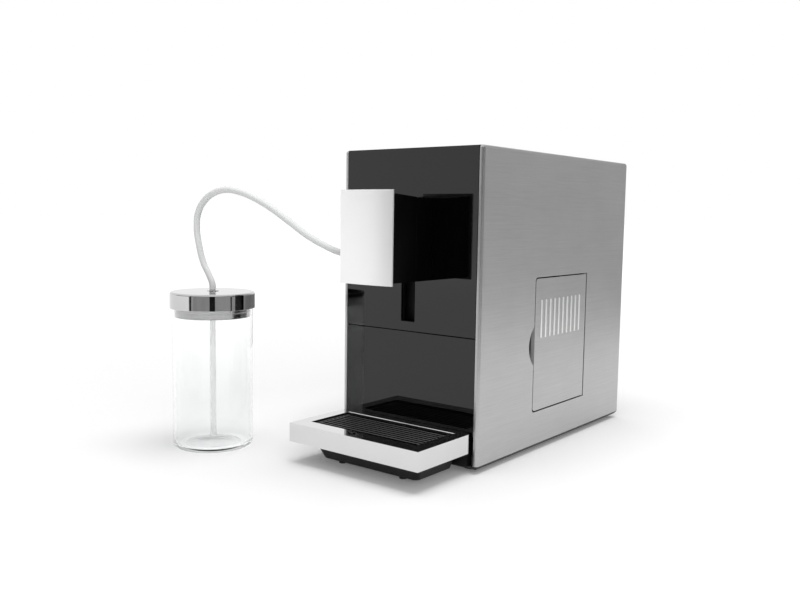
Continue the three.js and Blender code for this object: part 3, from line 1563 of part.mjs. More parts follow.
function make_inlet_and_switch() {
  const [half_w, half_h] = [inlet_width / 2, inlet_height / 2];
  const face = inlet_back;
  const seat = rear_wall_back + clearance;
  const flange = block(
    inlet_x - half_w - inlet_flange, inlet_x + half_w + inlet_flange, seat, face,
    inlet_z - half_h - inlet_flange, inlet_z + half_h + inlet_flange,
  );
  const body = block(
    inlet_x - half_w, inlet_x + half_w, face - inlet_depth, seat + clearance,
    inlet_z - half_h, inlet_z + half_h,
  );
  const recess = crosswise(
    rounded(inlet_x - half_w + inlet_wall, inlet_x + half_w - inlet_wall,
      inlet_z - half_h + inlet_wall, inlet_z + half_h - inlet_wall,
      [0, 0, inlet_flange, inlet_flange]),
    face - inlet_depth + inlet_floor, face + overrun,
  );
  const pins = [-1, 0, 1].map((i) => {
    const x = inlet_x + i * pin_spacing;
    const z = inlet_z + (i === 0 ? pin_rise : -pin_rise);
    return block(
      x - pin_thickness / 2, x + pin_thickness / 2, face - inlet_depth + inlet_floor / 2,
      face - inlet_floor, z - pin_width / 2, z + pin_width / 2,
    );
  });
  add_piece("power_inlet", join(cut(join(flange, body), recess), ...pins), satin_black());

  const pivot = rear_wall_back - switch_pivot_depth;
  const tilt = Math.atan(
    (switch_radius * Math.cos(switch_spread) - switch_waist)
      / (switch_radius * Math.sin(switch_spread)),
  );
  const around = (angle, radius) => [
    pivot + radius * Math.cos(angle + tilt), inlet_z + radius * Math.sin(angle + tilt),
  ];
  const ends = [];
  for (let step = 0; step <= arc_steps; step += 1) {
    ends.push(switch_spread + (step / arc_steps) * (Math.PI / 2 - switch_spread));
  }
  const rocker = outline([
    around(0, switch_waist),
    ...ends.map((angle) => around(angle, switch_radius)),
    around(Math.PI, switch_waist),
    ...ends.reverse().map((angle) => around(-angle, switch_radius)),
  ]);
  const width = switch_width / 2;
  const button = join(
    sideways(rocker, switch_x - width, switch_x + width),
    cross_rod(switch_pin_radius, switch_x - width - switch_pin_length,
      switch_x + width + switch_pin_length, pivot, inlet_z),
  );
  add_piece("power_switch", button, satin_black());
}

make_sides();
make_base();
make_feet();
make_front();
make_slide_channel();
make_spout_slide();
make_spout_body();
make_spout_cover();
make_milk_fitting();
make_milk_hose();
make_milk_jar();
make_milk_lid();
make_drip_tray();
make_tray_rim();
make_grille();
make_grounds_container();
make_service_door();
make_door_frame();
make_inner_walls();
make_tank_shelf();
make_rear_panel();
make_top_cover();
make_hopper();
make_hopper_lid();
make_grind_knob();
make_grinder();
make_brewing_unit();
make_tank();
make_heater();
make_pump();
make_boards();
make_inlet_and_switch();

// The finished set stands on Z = 0 with the middle of its outer box over the origin
const assembly = new THREE.Group();
const extent = new THREE.Box3();
for (const piece of pieces) {
  assembly.add(piece);
  if (piece.name !== "milk_tube") extent.expandByObject(piece);
}
const middle = extent.getCenter(new THREE.Vector3());
assembly.position.set(-middle.x, -middle.y, -extent.min.z);

const coffee_machine = new THREE.Group();
coffee_machine.add(assembly);

export default coffee_machine;
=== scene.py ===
# %% [markdown]
# # A bean to cup coffee machine
#
# The machine is a slim cabinet with two folded steel sides and a gloss black front. A spout slides
# in a slot of the front, a drip tray with a polished rim stands out below it, and a hose runs from
# the spout to a glass milk jar. The solids of the part come first: they fix every size and place,
# and each finer piece made here stands for one of them.

# %% Load the frame
import json
from math import cos, pi, radians, sin, sqrt

import bmesh
import bpy
from mathutils import Matrix, Vector


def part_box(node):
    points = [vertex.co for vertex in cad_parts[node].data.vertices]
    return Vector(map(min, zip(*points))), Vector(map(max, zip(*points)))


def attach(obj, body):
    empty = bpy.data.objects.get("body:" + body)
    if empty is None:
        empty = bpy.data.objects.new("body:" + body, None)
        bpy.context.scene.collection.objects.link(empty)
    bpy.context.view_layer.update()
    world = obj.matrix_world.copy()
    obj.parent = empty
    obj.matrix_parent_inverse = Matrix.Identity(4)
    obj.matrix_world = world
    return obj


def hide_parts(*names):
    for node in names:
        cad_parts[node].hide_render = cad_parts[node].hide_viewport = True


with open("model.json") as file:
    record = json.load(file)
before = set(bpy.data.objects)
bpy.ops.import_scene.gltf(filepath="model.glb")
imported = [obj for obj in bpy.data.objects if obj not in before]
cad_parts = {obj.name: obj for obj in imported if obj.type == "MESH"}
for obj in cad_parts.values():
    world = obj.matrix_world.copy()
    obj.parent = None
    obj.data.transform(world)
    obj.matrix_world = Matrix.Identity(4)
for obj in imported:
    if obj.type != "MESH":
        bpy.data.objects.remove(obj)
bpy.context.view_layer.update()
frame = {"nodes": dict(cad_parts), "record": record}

mm = 0.001
body_of = {
    node: body for body, nodes in frame["record"]["behaviour"]["bodies"].items() for node in nodes
}
slot_of = {part["node"]: part["material_slot"] for part in frame["record"]["subparts"]}

# %% [markdown]
# ## The camera
#
# The photograph was taken with a slightly long lens, a little above the machine's middle and to
# its right. Its place, its three angles and its focal length were solved from measured edges, so
# the camera is set by numbers and isn't aimed by eye. Nothing else in the file depends on it.

# %% Camera
camera_place = Vector((615.45, -791.65, 258.0)) * mm
view_azimuth = 38.296
view_drop = 5.741
view_roll = 0.838
focal_pixels = 845.86
image_width = 800
sensor_width = 36.0

bpy.ops.object.select_all(action="DESELECT")
bpy.ops.object.camera_add(location=camera_place)
camera = bpy.context.object
camera.name = "photo_camera"
turn = (
    Matrix.Rotation(radians(view_azimuth), 4, "Z")
    @ Matrix.Rotation(radians(90 - view_drop), 4, "X")
    @ Matrix.Rotation(radians(view_roll), 4, "Z")
)
camera.rotation_euler = turn.to_euler()
camera.data.sensor_width = sensor_width
camera.data.lens = focal_pixels / image_width * sensor_width
bpy.context.scene.camera = camera
print("lens", round(camera.data.lens, 2), "mm")

# %% [markdown]
# ## The milk hose
#
# The hose is a soft silicone tube of a fixed length. It leaves the spout's fitting straight to the
# side, rises over a loop and comes down onto the pipe in the jar's lid. A curve with a round bevel
# keeps its thickness right in every bend: the bevel has a depth of 1, so each point's own radius
# is the hose's. The points repeat the route of the solid, in millimetres from the middle of the
# front panels' face, and smooth handles join them.

# %% Hose
panel_low, panel_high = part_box("upper_front_panel")
front_middle = Vector(((panel_low.x + panel_high.x) / 2, panel_low.y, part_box("side_panel_left")[0].z))
hose_diameter = 7 * mm
hose_route = [
    (-37.4, -50, 210), (-40.5, -50, 210), (-51, -52, 211.4), (-65, -57, 217.2), (-83, -63, 226.5),
    (-104, -70, 241), (-126, -76, 255.4), (-148, -82, 266.6), (-164, -86, 272), (-180, -90, 274.4),
    (-197, -94, 270.8), (-209.5, -96.5, 262.6), (-217.5, -98.5, 250.4), (-219.5, -99.5, 234),
    (-216.5, -99, 214), (-210.5, -97.8, 194), (-203.2, -96.1, 181), (-199, -95, 170.8),
    (-199, -95, 165.7),
]
hose_points = [front_middle + Vector(point) * mm for point in hose_route]

hose_curve = bpy.data.curves.new("milk_hose", "CURVE")
hose_curve.dimensions = "3D"
hose_curve.bevel_depth = 1.0
hose_curve.bevel_resolution = 6
hose_curve.resolution_u = 8
hose_curve.use_fill_caps = True
hose_line = hose_curve.splines.new("BEZIER")
hose_line.bezier_points.add(len(hose_points) - 1)
for knot, point in zip(hose_line.bezier_points, hose_points):
    knot.co = knot.handle_left = knot.handle_right = point
    knot.radius = hose_diameter / 2
hose = bpy.data.objects.new("milk_hose", hose_curve)
bpy.context.scene.collection.objects.link(hose)
bpy.ops.object.select_all(action="DESELECT")
hose.select_set(True)
bpy.context.view_layer.objects.active = hose
bpy.ops.object.mode_set(mode="EDIT")
bpy.ops.curve.select_all(action="SELECT")
bpy.ops.curve.handle_type_set(type="AUTOMATIC")
bpy.ops.object.mode_set(mode="OBJECT")
hose_line = hose.data.splines[0]
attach(hose, body_of["milk_tube"])
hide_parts("milk_tube")

# %% [markdown]
# ## Shader maths
#
# A finish is a net of nodes. Written as Python, `1 - mask` says at a glance what three lines of
# node making say slowly. So one small class wraps the output of a node and adds a Math node for
# each sum, and one method makes every other node from its type, its settings and its inputs.

# %% Wires
class Wire:
    """The output of a node. A sum or product of wires is a wire too."""

    def __init__(self, shading, socket):
        self.shading = shading
        self.socket = socket

    def worked(self, operation, first, second):
        return self.shading.node("ShaderNodeMath", {"operation": operation}, {0: first, 1: second})

    def __add__(self, other):
        return self.worked("ADD", self, other)

    def __sub__(self, other):
        return self.worked("SUBTRACT", self, other)

    def __rsub__(self, other):
        return self.worked("SUBTRACT", other, self)

    def __mul__(self, other):
        return self.worked("MULTIPLY", self, other)

    def __truediv__(self, other):
        return self.worked("DIVIDE", self, other)

    def __lt__(self, other):
        return self.worked("LESS_THAN", self, other)

    __radd__ = __add__
    __rmul__ = __mul__


# %% Shadings
class Shading:
    """A net of shader nodes, on a material or on the world."""

    def __init__(self, tree):
        self.nodes = tree.nodes
        self.links = tree.links

    def node(self, kind, settings=None, inputs=None, output=0):
        node = self.nodes.new(kind)
        for name, value in (settings or {}).items():
            setattr(node, name, value)
        for name, value in (inputs or {}).items():
            self.feed(node.inputs[name], value)
        return Wire(self, node.outputs[output])

    def feed(self, socket, value):
        if isinstance(value, Wire):
            self.links.new(value.socket, socket)
        elif socket.type == "RGBA":
            socket.default_value = (*value, 1.0)
        else:
            socket.default_value = value

    def blend(self, share, first, second):
        """Colour between two colours."""
        inputs = {0: share, 6: first, 7: second}
        return self.node("ShaderNodeMix", {"data_type": "RGBA"}, inputs, output=2)

    def between(self, value, low, high, at_low=0.0, at_high=1.0):
        """Value carried from one range to another, and held at its ends."""
        inputs = {0: value, 1: low, 2: high, 3: at_low, 4: at_high}
        return self.node("ShaderNodeMapRange", {"clamp": True}, inputs)

    def axes(self, vector):
        node = self.node("ShaderNodeSeparateXYZ", {}, {0: vector}).socket.node
        return [Wire(self, socket) for socket in node.outputs]


# %% Finishes
class Finish(Shading):
    """A material made of one Principled shader, with patterns measured in metres."""

    def __init__(self, name, **fixed):
        self.material = bpy.data.materials.new(name)
        self.material.use_nodes = True
        super().__init__(self.material.node_tree)
        self.shader = self.nodes["Principled BSDF"]
        self.place = self.node("ShaderNodeTexCoord", output="Object")
        self.set(**fixed)

    def set(self, **values):
        for name, value in values.items():
            self.feed(self.shader.inputs[name.replace("_", " ")], value)
        return self

    def clouds(self, size, stretch=(1, 1, 1), detail=3.0, roughness=0.5):
        """Cloudy pattern, about 0 to 1, with spots of this size drawn out along each axis."""
        scale = [1 / (size * factor) for factor in stretch]
        inputs = {0: self.place, 1: scale}
        place = self.node("ShaderNodeVectorMath", {"operation": "MULTIPLY"}, inputs)
        inputs = {"Vector": place, "Scale": 1.0, "Detail": detail, "Roughness": roughness}
        return self.node("ShaderNodeTexNoise", {}, inputs)

    def specks(self, size, share):
        """1 in a few small round specks of dust, 0 elsewhere."""
        cells = self.node("ShaderNodeTexVoronoi", {}, {"Vector": self.place, "Scale": 1 / size})
        return cells < share

    def raised(self, height, distance):
        """Bumps of a height in metres."""
        inputs = {"Height": height, "Distance": distance, "Strength": 1.0}
        return self.set(Normal=self.node("ShaderNodeBump", {}, inputs))


def grey(shade):
    """A grey, as the three numbers that a colour socket takes."""
    return (shade, shade, shade)


def shaded(colour, factor):
    """A colour made darker or lighter, as far as white."""
    return tuple(min(part * factor, 1.0) for part in colour)


print("a finish is a", Shading.__name__, "whose sums are", Wire.__name__, "objects")

# %% [markdown]
# ## Steel of the sides
#
# The sides and the service door are one brushed sheet. A belt drew fine lines along the cabinet,
# from front to back, which scatter the reflection. Noise squeezed to a fraction of a millimetre
# across and stretched to a hand's width along gives such lines. The same lines drive the colour,
# the roughness and a bump of a few thousandths of a millimetre, so all three agree.

# %% Brushed steel
def brushed_lines(finish, width, length, detail):
    """Noise drawn out from front to back. The lean carries it over folds that face upwards."""
    x, y, z = finish.axes(finish.place)
    lean = 0.37
    inputs = {0: y / length, 1: (z + x * lean) / width, 2: x / (40 * mm)}
    place = finish.node("ShaderNodeCombineXYZ", {}, inputs)
    inputs = {"Vector": place, "Scale": 1.0, "Detail": detail, "Roughness": 0.6}
    return finish.node("ShaderNodeTexNoise", {}, inputs)


def brushed_steel():
    finish = Finish("brushed_steel", Metallic=1.0)
    fine = brushed_lines(finish, 0.35 * mm, 45 * mm, 2.0)
    broad = brushed_lines(finish, 1.6 * mm, 120 * mm, 3.0)
    lines = fine * 0.7 + broad * 0.3
    stains = finish.clouds(60 * mm, detail=4.0)
    tone = finish.between(lines + stains * 0.25, 0.35, 0.9)
    finish.set(
        Base_Color=finish.blend(tone, grey(0.42), grey(0.56)),
        Roughness=finish.between(lines, 0.3, 0.7, 0.31, 0.38),
    )
    return finish.raised(lines, 0.004 * mm)


steel = brushed_steel()
print(steel.material.name, len(steel.nodes), "nodes")

# %% [markdown]
# ## Gloss black of the front
#
# The two front panels are polished plastic, as deep as lacquer. Nearly all that one sees on them is
# the reflection, so the base is almost black and the surface almost smooth. Wiping leaves faint
# broad marks in the polish, and a few grains of dust break the mirror.

# %% Gloss black
def gloss_black(name, shade, roughness):
    finish = Finish(name, IOR=1.5)
    wiped = finish.clouds(35 * mm, stretch=(1, 1, 2.5), detail=4.0, roughness=0.6)
    dust = finish.specks(2.6 * mm, 0.022)
    finish.set(
        Base_Color=finish.blend(dust, grey(shade), grey(shade + 0.02)),
        Roughness=finish.between(wiped, 0.35, 0.7, roughness, roughness * 1.8) + dust * 0.2,
    )
    return finish.raised(finish.clouds(9 * mm, detail=1.0), 0.0015 * mm)


panel_gloss = gloss_black("panel_gloss", 0.0012, 0.022)
spout_gloss = gloss_black("spout_gloss", 0.0008, 0.3)
spout_gloss.set(Specular_IOR_Level=0.1)

# %% [markdown]
# ## Moulded plastic
#
# Most other pieces are moulded plastic. Its skin carries the fine texture of the mould, and it is
# never quite even in tone or shine. One function makes them all from a colour, a roughness and the
# size of the grain, because these three are what differs from one moulding to the next.

# %% Mouldings
def moulding(name, colour, roughness, grain=0.35 * mm, depth=0.012 * mm):
    finish = Finish(name)
    texture = finish.clouds(grain, detail=2.0, roughness=0.6)
    patches = finish.clouds(24 * mm, detail=3.0)
    scuffs = finish.clouds(3 * mm, stretch=(4, 1, 1), detail=4.0, roughness=0.7)
    lighter = tuple(part * 1.25 + 0.0008 for part in colour)
    worn = finish.between(scuffs, 0.62, 0.78)
    uneven = texture + patches * 0.4
    finish.set(
        Base_Color=finish.blend(patches * 0.7 + worn * 0.4, shaded(colour, 0.8), lighter),
        Roughness=finish.between(uneven, 0.4, 1.0, roughness * 0.88, roughness * 1.12),
    )
    return finish.raised(texture, depth)


tray_plastic = moulding("tray_plastic", grey(0.0045), 0.42, depth=0.006 * mm)
base_plastic = moulding("base_plastic", grey(0.012), 0.5)
top_plastic = moulding("top_plastic", grey(0.010), 0.42)
rear_plastic = moulding("rear_plastic", grey(0.014), 0.55, grain=0.6 * mm, depth=0.03 * mm)
inner_black_plastic = moulding("inner_black_plastic", grey(0.005), 0.55)
lip_paint = moulding("lip_paint", grey(0.45), 0.35)
inner_grey_plastic = moulding("inner_grey_plastic", (0.045, 0.047, 0.05), 0.55)
white_plastic = moulding("white_plastic", (0.72, 0.72, 0.68), 0.42)
foot_rubber = moulding("foot_rubber", grey(0.008), 0.8, grain=0.5 * mm, depth=0.03 * mm)
print("mouldings made")

# %% [markdown]
# The ridge tops of the grille are painted paler than all below them, a painted highlight for the
# light they catch. A mask is built from the height of each spot, and from whether it lies inside the
# frame.

# %% Grille with painted highlights
grille_low, grille_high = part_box("drip_grille")
grille_sunk = 0.9 * mm
highlight_border = 4 * mm
highlight_depth = 0.45 * mm


def grille_with_painted_highlight():
    finish = Finish("grille_plastic", Specular_IOR_Level=0.1)
    x, y, z = finish.axes(finish.place)
    highlight_end = grille_high.z - grille_sunk - highlight_depth
    # Painted highlight: the ridge tops inside the frame are made paler, for the light that they catch.
    ridge_highlight = finish.between(z, highlight_end, highlight_end + 0.1 * mm)
    for axis, low, high in ((x, grille_low.x, grille_high.x), (y, grille_low.y, grille_high.y)):
        ridge_highlight = ridge_highlight * (axis < high - highlight_border) * (1 - (axis < low + highlight_border))
    ridge_highlight = ridge_highlight * (finish.clouds(9 * mm, detail=4.0) * 0.8 + 0.6)
    finish.set(
        Base_Color=finish.blend(ridge_highlight, grey(0.002), grey(0.13)),
        Roughness=finish.between(ridge_highlight, 0.0, 1.0, 0.5, 0.36),
    )
    return finish.raised(finish.clouds(0.35 * mm, detail=2.0), 0.006 * mm)


grille_plastic = grille_with_painted_highlight()

# %% [markdown]
# ## Silver, chrome and plain metals
#
# The spout's cover is satin silver, the tray's rim and the jar's lid are polished chrome, and the
# works inside are cast or turned. Chrome is a mirror whose only flaws are thin wiping scratches.
# Satin metal has the same colour and scatters more. Cast metal keeps the grain of its sand.

# %% Metals
def polished_metal(name, shade, roughness):
    finish = Finish(name, Metallic=1.0)
    haze = finish.clouds(30 * mm, detail=4.0)
    scratches = finish.clouds(0.5 * mm, stretch=(30, 30, 1), detail=2.0)
    marks = finish.between(scratches, 0.6, 0.75)
    return finish.set(
        Base_Color=finish.blend(haze, grey(shade * 0.97), grey(shade * 1.03)),
        Roughness=finish.between(haze, 0.3, 0.7, roughness, roughness * 1.7) + marks * 0.03,
    )


def satin_metal(name, colour, roughness, grain, depth, metallic=1.0):
    finish = Finish(name, Metallic=metallic)
    texture = finish.clouds(grain, detail=3.0, roughness=0.6)
    patches = finish.clouds(28 * mm, detail=3.0)
    share = patches * 0.6 + texture * 0.4
    finish.set(
        Base_Color=finish.blend(share, shaded(colour, 0.95), shaded(colour, 1.05)),
        Roughness=finish.between(texture, 0.3, 0.7, roughness * 0.9, roughness * 1.1),
    )
    return finish.raised(texture, depth)


rim_chrome = polished_metal("rim_chrome", 0.69, 0.035)
lid_chrome = polished_metal("lid_chrome", 0.56, 0.03)
plug_metal = polished_metal("plug_metal", 0.34, 0.16)
# A lighter steel for the door's beads: a painted highlight for the light that their backs catch.
bead_steel_with_painted_highlight = satin_metal("bead_steel_with_painted_highlight", grey(0.95), 0.5, 0.3 * mm, 0.002 * mm)
cover_silver = satin_metal("cover_silver", grey(1.0), 0.36, 0.25 * mm, 0.0015 * mm, 0.85)
cast_metal = satin_metal("cast_metal", (0.46, 0.47, 0.48), 0.5, 0.8 * mm, 0.06 * mm)
turned_metal = satin_metal("turned_metal", (0.52, 0.53, 0.54), 0.26, 0.3 * mm, 0.003 * mm)
motor_metal = satin_metal("motor_metal", (0.4, 0.41, 0.42), 0.4, 1.5 * mm, 0.01 * mm)
print("metals made")

# %% [markdown]
# ## Glass, silicone and smoked plastic
#
# Clear glass bends what lies behind it, and lamps shine through it. A Principled shader with full
# transmission bends the view. For the rays that carry shadows a Mix Shader puts a Transparent
# shader in its place, or the jar would throw a black shadow. The smoked pieces tint what shows
# through them. The hose is milky and has its own finish.

# %% See-through finishes
def see_through(name, colour, roughness, ior, share=1.0, marks=0.03):
    finish = Finish(name, IOR=ior, Transmission_Weight=share)
    film = finish.clouds(18 * mm, stretch=(1, 1, 1.6), detail=4.0, roughness=0.6)
    finish.set(
        Base_Color=finish.blend(film, shaded(colour, 0.97), colour),
        Roughness=finish.between(film, 0.4, 0.75, roughness, roughness + marks),
    )
    shadow_ray = finish.node("ShaderNodeLightPath", output="Is Shadow Ray")
    clear = finish.node("ShaderNodeBsdfTransparent", {}, {"Color": colour})
    glassy = Wire(finish, finish.shader.outputs["BSDF"])
    mixed = finish.node("ShaderNodeMixShader", {}, {0: shadow_ray, 1: glassy, 2: clear})
    finish.links.new(mixed.socket, finish.nodes["Material Output"].inputs["Surface"])
    return finish


jar_glass = see_through("jar_glass", (0.93, 0.936, 0.936), 0.0, 1.3, marks=0.01)
pipe_plastic = see_through("pipe_plastic", (0.96, 0.96, 0.965), 0.06, 1.2, share=0.85, marks=0.05)
smoked_plastic = see_through("smoked_plastic", (0.30, 0.32, 0.34), 0.06, 1.49, 0.9, marks=0.08)


def milky_silicone():
    """Milky silicone looks nearly white, with a soft shine."""
    finish = Finish("hose_silicone", IOR=1.41)
    film = finish.clouds(14 * mm, detail=3.0)
    return finish.set(
        Base_Color=finish.blend(film, (0.77, 0.775, 0.78), (0.81, 0.815, 0.82)),
        Roughness=finish.between(film, 0.35, 0.7, 0.4, 0.5),
    )


hose_silicone = milky_silicone()
print("see-through finishes made")

# %% [markdown]
# ## Circuit board
#
# A board is green lacquer over copper lines, with a coarse woven core that shows a little. The
# lines are a brick pattern of long thin cells, lighter where copper lies under the lacquer.

# %% Board lacquer
def board_lacquer():
    finish = Finish("board_lacquer", Coat_Weight=0.4)
    inputs = {"Vector": finish.place, "Scale": 1 / (9 * mm), "Mortar Size": 0.05, "Brick Width": 0.9}
    tracks = finish.node("ShaderNodeTexBrick", {}, inputs, output=1)
    weave = finish.clouds(0.8 * mm, detail=1.0)
    finish.set(
        Base_Color=finish.blend(tracks, (0.01, 0.075, 0.035), (0.03, 0.16, 0.07)),
        Roughness=finish.between(weave, 0.3, 0.7, 0.35, 0.5),
    )
    return finish.raised(tracks + weave * 0.2, 0.03 * mm)


board_green = board_lacquer()

# %% [markdown]
# ## Dress the solids
#
# Every solid of the part gets the finish of its material slot first. The pieces inside the
# cabinet keep their solids, which already have the right form. The pieces that show from outside
# are made again further down, with finer edges.

# %% Finishes of the slots
finish_of_slot = {
    "side_steel": steel, "gloss_panel": panel_gloss, "spout_black": spout_gloss,
    "cover_silver": cover_silver, "rim_chrome": rim_chrome, "lid_chrome": lid_chrome,
    "plug_metal": plug_metal, "jar_glass": jar_glass, "hose_silicone": hose_silicone,
    "pipe_clear": pipe_plastic, "tray_black": tray_plastic, "grille_black": grille_plastic,
    "base_black": base_plastic, "foot_rubber": foot_rubber, "inner_black": inner_black_plastic,
    "inner_grey": inner_grey_plastic, "rear_black": rear_plastic, "top_black": top_plastic,
    "smoked_plastic": smoked_plastic, "white_moulding": white_plastic, "cast_metal": cast_metal,
    "turned_steel": turned_metal, "motor_steel": motor_metal, "board_green": board_green,
}
for name, solid in frame["nodes"].items():
    solid.data.materials.clear()
    solid.data.materials.append(finish_of_slot[slot_of[name]].material)
hose.data.materials.append(hose_silicone.material)
print("solids dressed", len(frame["nodes"]))

# %% [markdown]
# ## Tools for modelling
#
# A piece starts as a primitive and is shaped in edit mode, as by hand. Operators act on whatever is
# selected, so each tool clears the selection first. Faces and edges are picked in code, by asking
# where they lie and which way they face. A finished piece has its place in its mesh and its object
# at the origin, as the solids have.

# %% Starting a piece
def choose(piece):
    """Only this piece is selected and active, in object mode."""
    if bpy.context.object and bpy.context.object.mode != "OBJECT":
        bpy.ops.object.mode_set(mode="OBJECT")
    bpy.ops.object.select_all(action="DESELECT")
    if piece:
        piece.select_set(True)
        bpy.context.view_layer.objects.active = piece


def started(name):
    """The primitive just added, with its size and place put into its mesh."""
    piece = bpy.context.object
    piece.name = name
    bpy.ops.object.transform_apply(location=True, rotation=True, scale=True)
    return piece


def block(name, low, high):
    choose(None)
    low, high = Vector(low), Vector(high)
    bpy.ops.mesh.primitive_cube_add(size=1, location=(low + high) / 2, scale=high - low)
    return started(name)


def bar(name, radius, start, end, sides=48):
    """Round bar between two points."""
    choose(None)
    start, end = Vector(start), Vector(end)
    turned = (end - start).to_track_quat("Z", "Y").to_euler()
    bpy.ops.mesh.primitive_cylinder_add(
        vertices=sides, radius=radius, depth=(end - start).length, location=(start + end) / 2,
        rotation=turned,
    )
    return started(name)


# %% Picking its parts
def pick(piece, kind, test):
    """Opens the piece in edit mode and selects the parts of one kind that pass the test."""
    choose(piece)
    bpy.ops.object.mode_set(mode="EDIT")
    bpy.ops.mesh.select_mode(type=kind)
    bpy.ops.mesh.select_all(action="DESELECT")
    mesh = bmesh.from_edit_mesh(piece.data)
    parts = {"VERT": mesh.verts, "EDGE": mesh.edges, "FACE": mesh.faces}[kind]
    for part in parts:
        if test(part):
            part.select_set(True)
    bmesh.update_edit_mesh(piece.data)


def middle(part):
    return sum((corner.co for corner in part.verts), Vector()) / len(part.verts)


def along(edge, axis):
    """True for an edge that runs along one axis."""
    run = edge.verts[1].co - edge.verts[0].co
    return abs(run[axis]) > 0.99 * run.length


# %% Shaping
def rounded(piece, radius, segments, test, kind="EDGE"):
    """Rounds the edges that pass the test, or all edges of such faces."""
    pick(piece, kind, test)
    bpy.ops.mesh.bevel(offset=radius, segments=segments, profile=0.5, affect="EDGES")
    choose(piece)


def applied(piece, kind, **settings):
    choose(piece)
    modifier = piece.modifiers.new(kind.lower(), kind)
    for name, value in settings.items():
        setattr(modifier, name, value)
    bpy.ops.object.modifier_apply(modifier=modifier.name)
    return piece


def carved(piece, *cutters):
    for cutter in cutters:
        applied(piece, "BOOLEAN", operation="DIFFERENCE", solver="EXACT", object=cutter)
        bpy.data.objects.remove(cutter)
    return piece


def joined(piece, *others):
    choose(piece)
    for other in others:
        other.select_set(True)
    bpy.ops.object.join()
    return piece


def copied(piece, name, move=(0, 0, 0)):
    twin = piece.copy()
    twin.data = piece.data.copy()
    twin.name = name
    bpy.context.scene.collection.objects.link(twin)
    twin.data.transform(Matrix.Translation(move))
    return twin


# %% Finishing a piece
def smoothed(piece, sharpest=50):
    """Shades round faces smooth and lets the wide flat ones set the shading of their edges."""
    choose(piece)
    bpy.ops.object.shade_smooth_by_angle(angle=radians(sharpest))
    return applied(piece, "WEIGHTED_NORMAL", keep_sharp=True, weight=80)


def softened(piece, width, segments=2, angle=30):
    """Breaks the sharp edges."""
    limits = {"limit_method": "ANGLE", "angle_limit": radians(angle)}
    applied(piece, "BEVEL", width=width, segments=segments, **limits)
    return smoothed(piece)


def dressed(piece, finish, *nodes):
    """The finished piece gets its material and stands for its solids."""
    choose(piece)
    piece.data.materials.clear()
    piece.data.materials.append(finish.material)
    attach(piece, body_of[nodes[0]])
    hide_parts(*nodes)
    print(piece.name, len(piece.data.polygons), "faces")
    return piece


# %% [markdown]
# Round pieces, such as the jar and its lid, are turned. A line is drawn from point to point with
# extrude, and spin carries it round an axis. Spin leaves a seam and can turn a shape inside out, so
# the doubles are merged and the normals are made to face outwards again. Weighted normals keep long
# walls straight in reflections: without them the shading of a rounded edge leaks down the wall.

# %% Profiles
def round_size(node):
    """Radius, height and foot point of an upright round solid."""
    low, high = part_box(node)
    centre = (low + high) / 2
    return (high.x - low.x) / 2, high.z - low.z, Vector((centre.x, centre.y, low.z))


def arc(centre, radius, start, end, steps=6):
    """Points of an arc in a profile, with angles in degrees from outwards to upwards."""
    angles = [radians(start + (end - start) * step / steps) for step in range(steps + 1)]
    return [(centre[0] + radius * cos(a), centre[1] + radius * sin(a)) for a in angles]


# %% Spinning a profile
weld_distance = 0.002 * mm


def spun(name, profile, centre, axis=(0, 0, 1), out=(1, 0, 0), steps=96):
    """Profile of (radius, height) points turned round an axis through the centre."""
    centre, axis, out = Vector(centre), Vector(axis), Vector(out)
    points = [centre + out * radius + axis * height for radius, height in profile]
    choose(None)
    bpy.ops.mesh.primitive_plane_add(size=mm)
    piece = bpy.context.object
    piece.name = name
    bpy.ops.object.mode_set(mode="EDIT")
    bpy.ops.mesh.select_mode(type="VERT")
    bpy.ops.mesh.select_all(action="SELECT")
    bpy.ops.mesh.merge(type="CENTER")
    bpy.ops.transform.translate(value=points[0])
    for start, end in zip(points, points[1:]):
        bpy.ops.mesh.extrude_region_move(TRANSFORM_OT_translate={"value": end - start})
    bpy.ops.mesh.select_all(action="SELECT")
    bpy.ops.mesh.spin(steps=steps, angle=2 * pi, center=centre, axis=axis)
    bpy.ops.mesh.select_all(action="SELECT")
    bpy.ops.mesh.remove_doubles(threshold=weld_distance)
    bpy.ops.mesh.normals_make_consistent(inside=False)
    return smoothed(piece, sharpest=35)


# %% [markdown]
# Some solids have exactly the right form and only lack the small rounded edges that catch the
# light. A copy of such a solid has its loose triangles merged into flat faces, and a bevel breaks
# its edges.

# %% Edged copies
def edged(name, node, width, segments=2, angle=30):
    piece = copied(frame["nodes"][node], name)
    piece.parent = None
    for key in [key for key in piece.keys() if key.startswith("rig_")]:
        del piece[key]
    choose(piece)
    bpy.ops.mesh.customdata_custom_splitnormals_clear()
    bpy.ops.object.mode_set(mode="EDIT")
    bpy.ops.mesh.select_all(action="SELECT")
    bpy.ops.mesh.remove_doubles(threshold=weld_distance)
    bpy.ops.mesh.dissolve_limited(angle_limit=radians(0.5))
    bpy.ops.object.mode_set(mode="OBJECT")
    return softened(piece, width, segments, angle)


# %% [markdown]
# ## Steel sides
#
# Each side is one sheet, folded over at the front and at the top. It is made as a sheet worker
# makes it: an open corner of three faces, whose three folds are rounded, and then a wall of the
# sheet's thickness. The right side has the opening of the service door and the bow beside it where
# a finger reaches the door's edge. Both are cut out with plain bodies.

# %% Folded sides
sheet = 1.5 * mm
fold_radius = 3.5 * mm


def folded_side(name, node, outward):
    low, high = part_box(node)
    side = block(name, low, high)
    pick(side, "FACE", lambda face: (
        face.normal.x * outward < -0.5 or face.normal.y > 0.5 or face.normal.z < -0.5
    ))
    bpy.ops.mesh.delete(type="FACE")
    rounded(side, fold_radius, 8, lambda edge: len(edge.link_faces) == 2)
    return applied(side, "SOLIDIFY", thickness=sheet, offset=-1, use_even_offset=True)


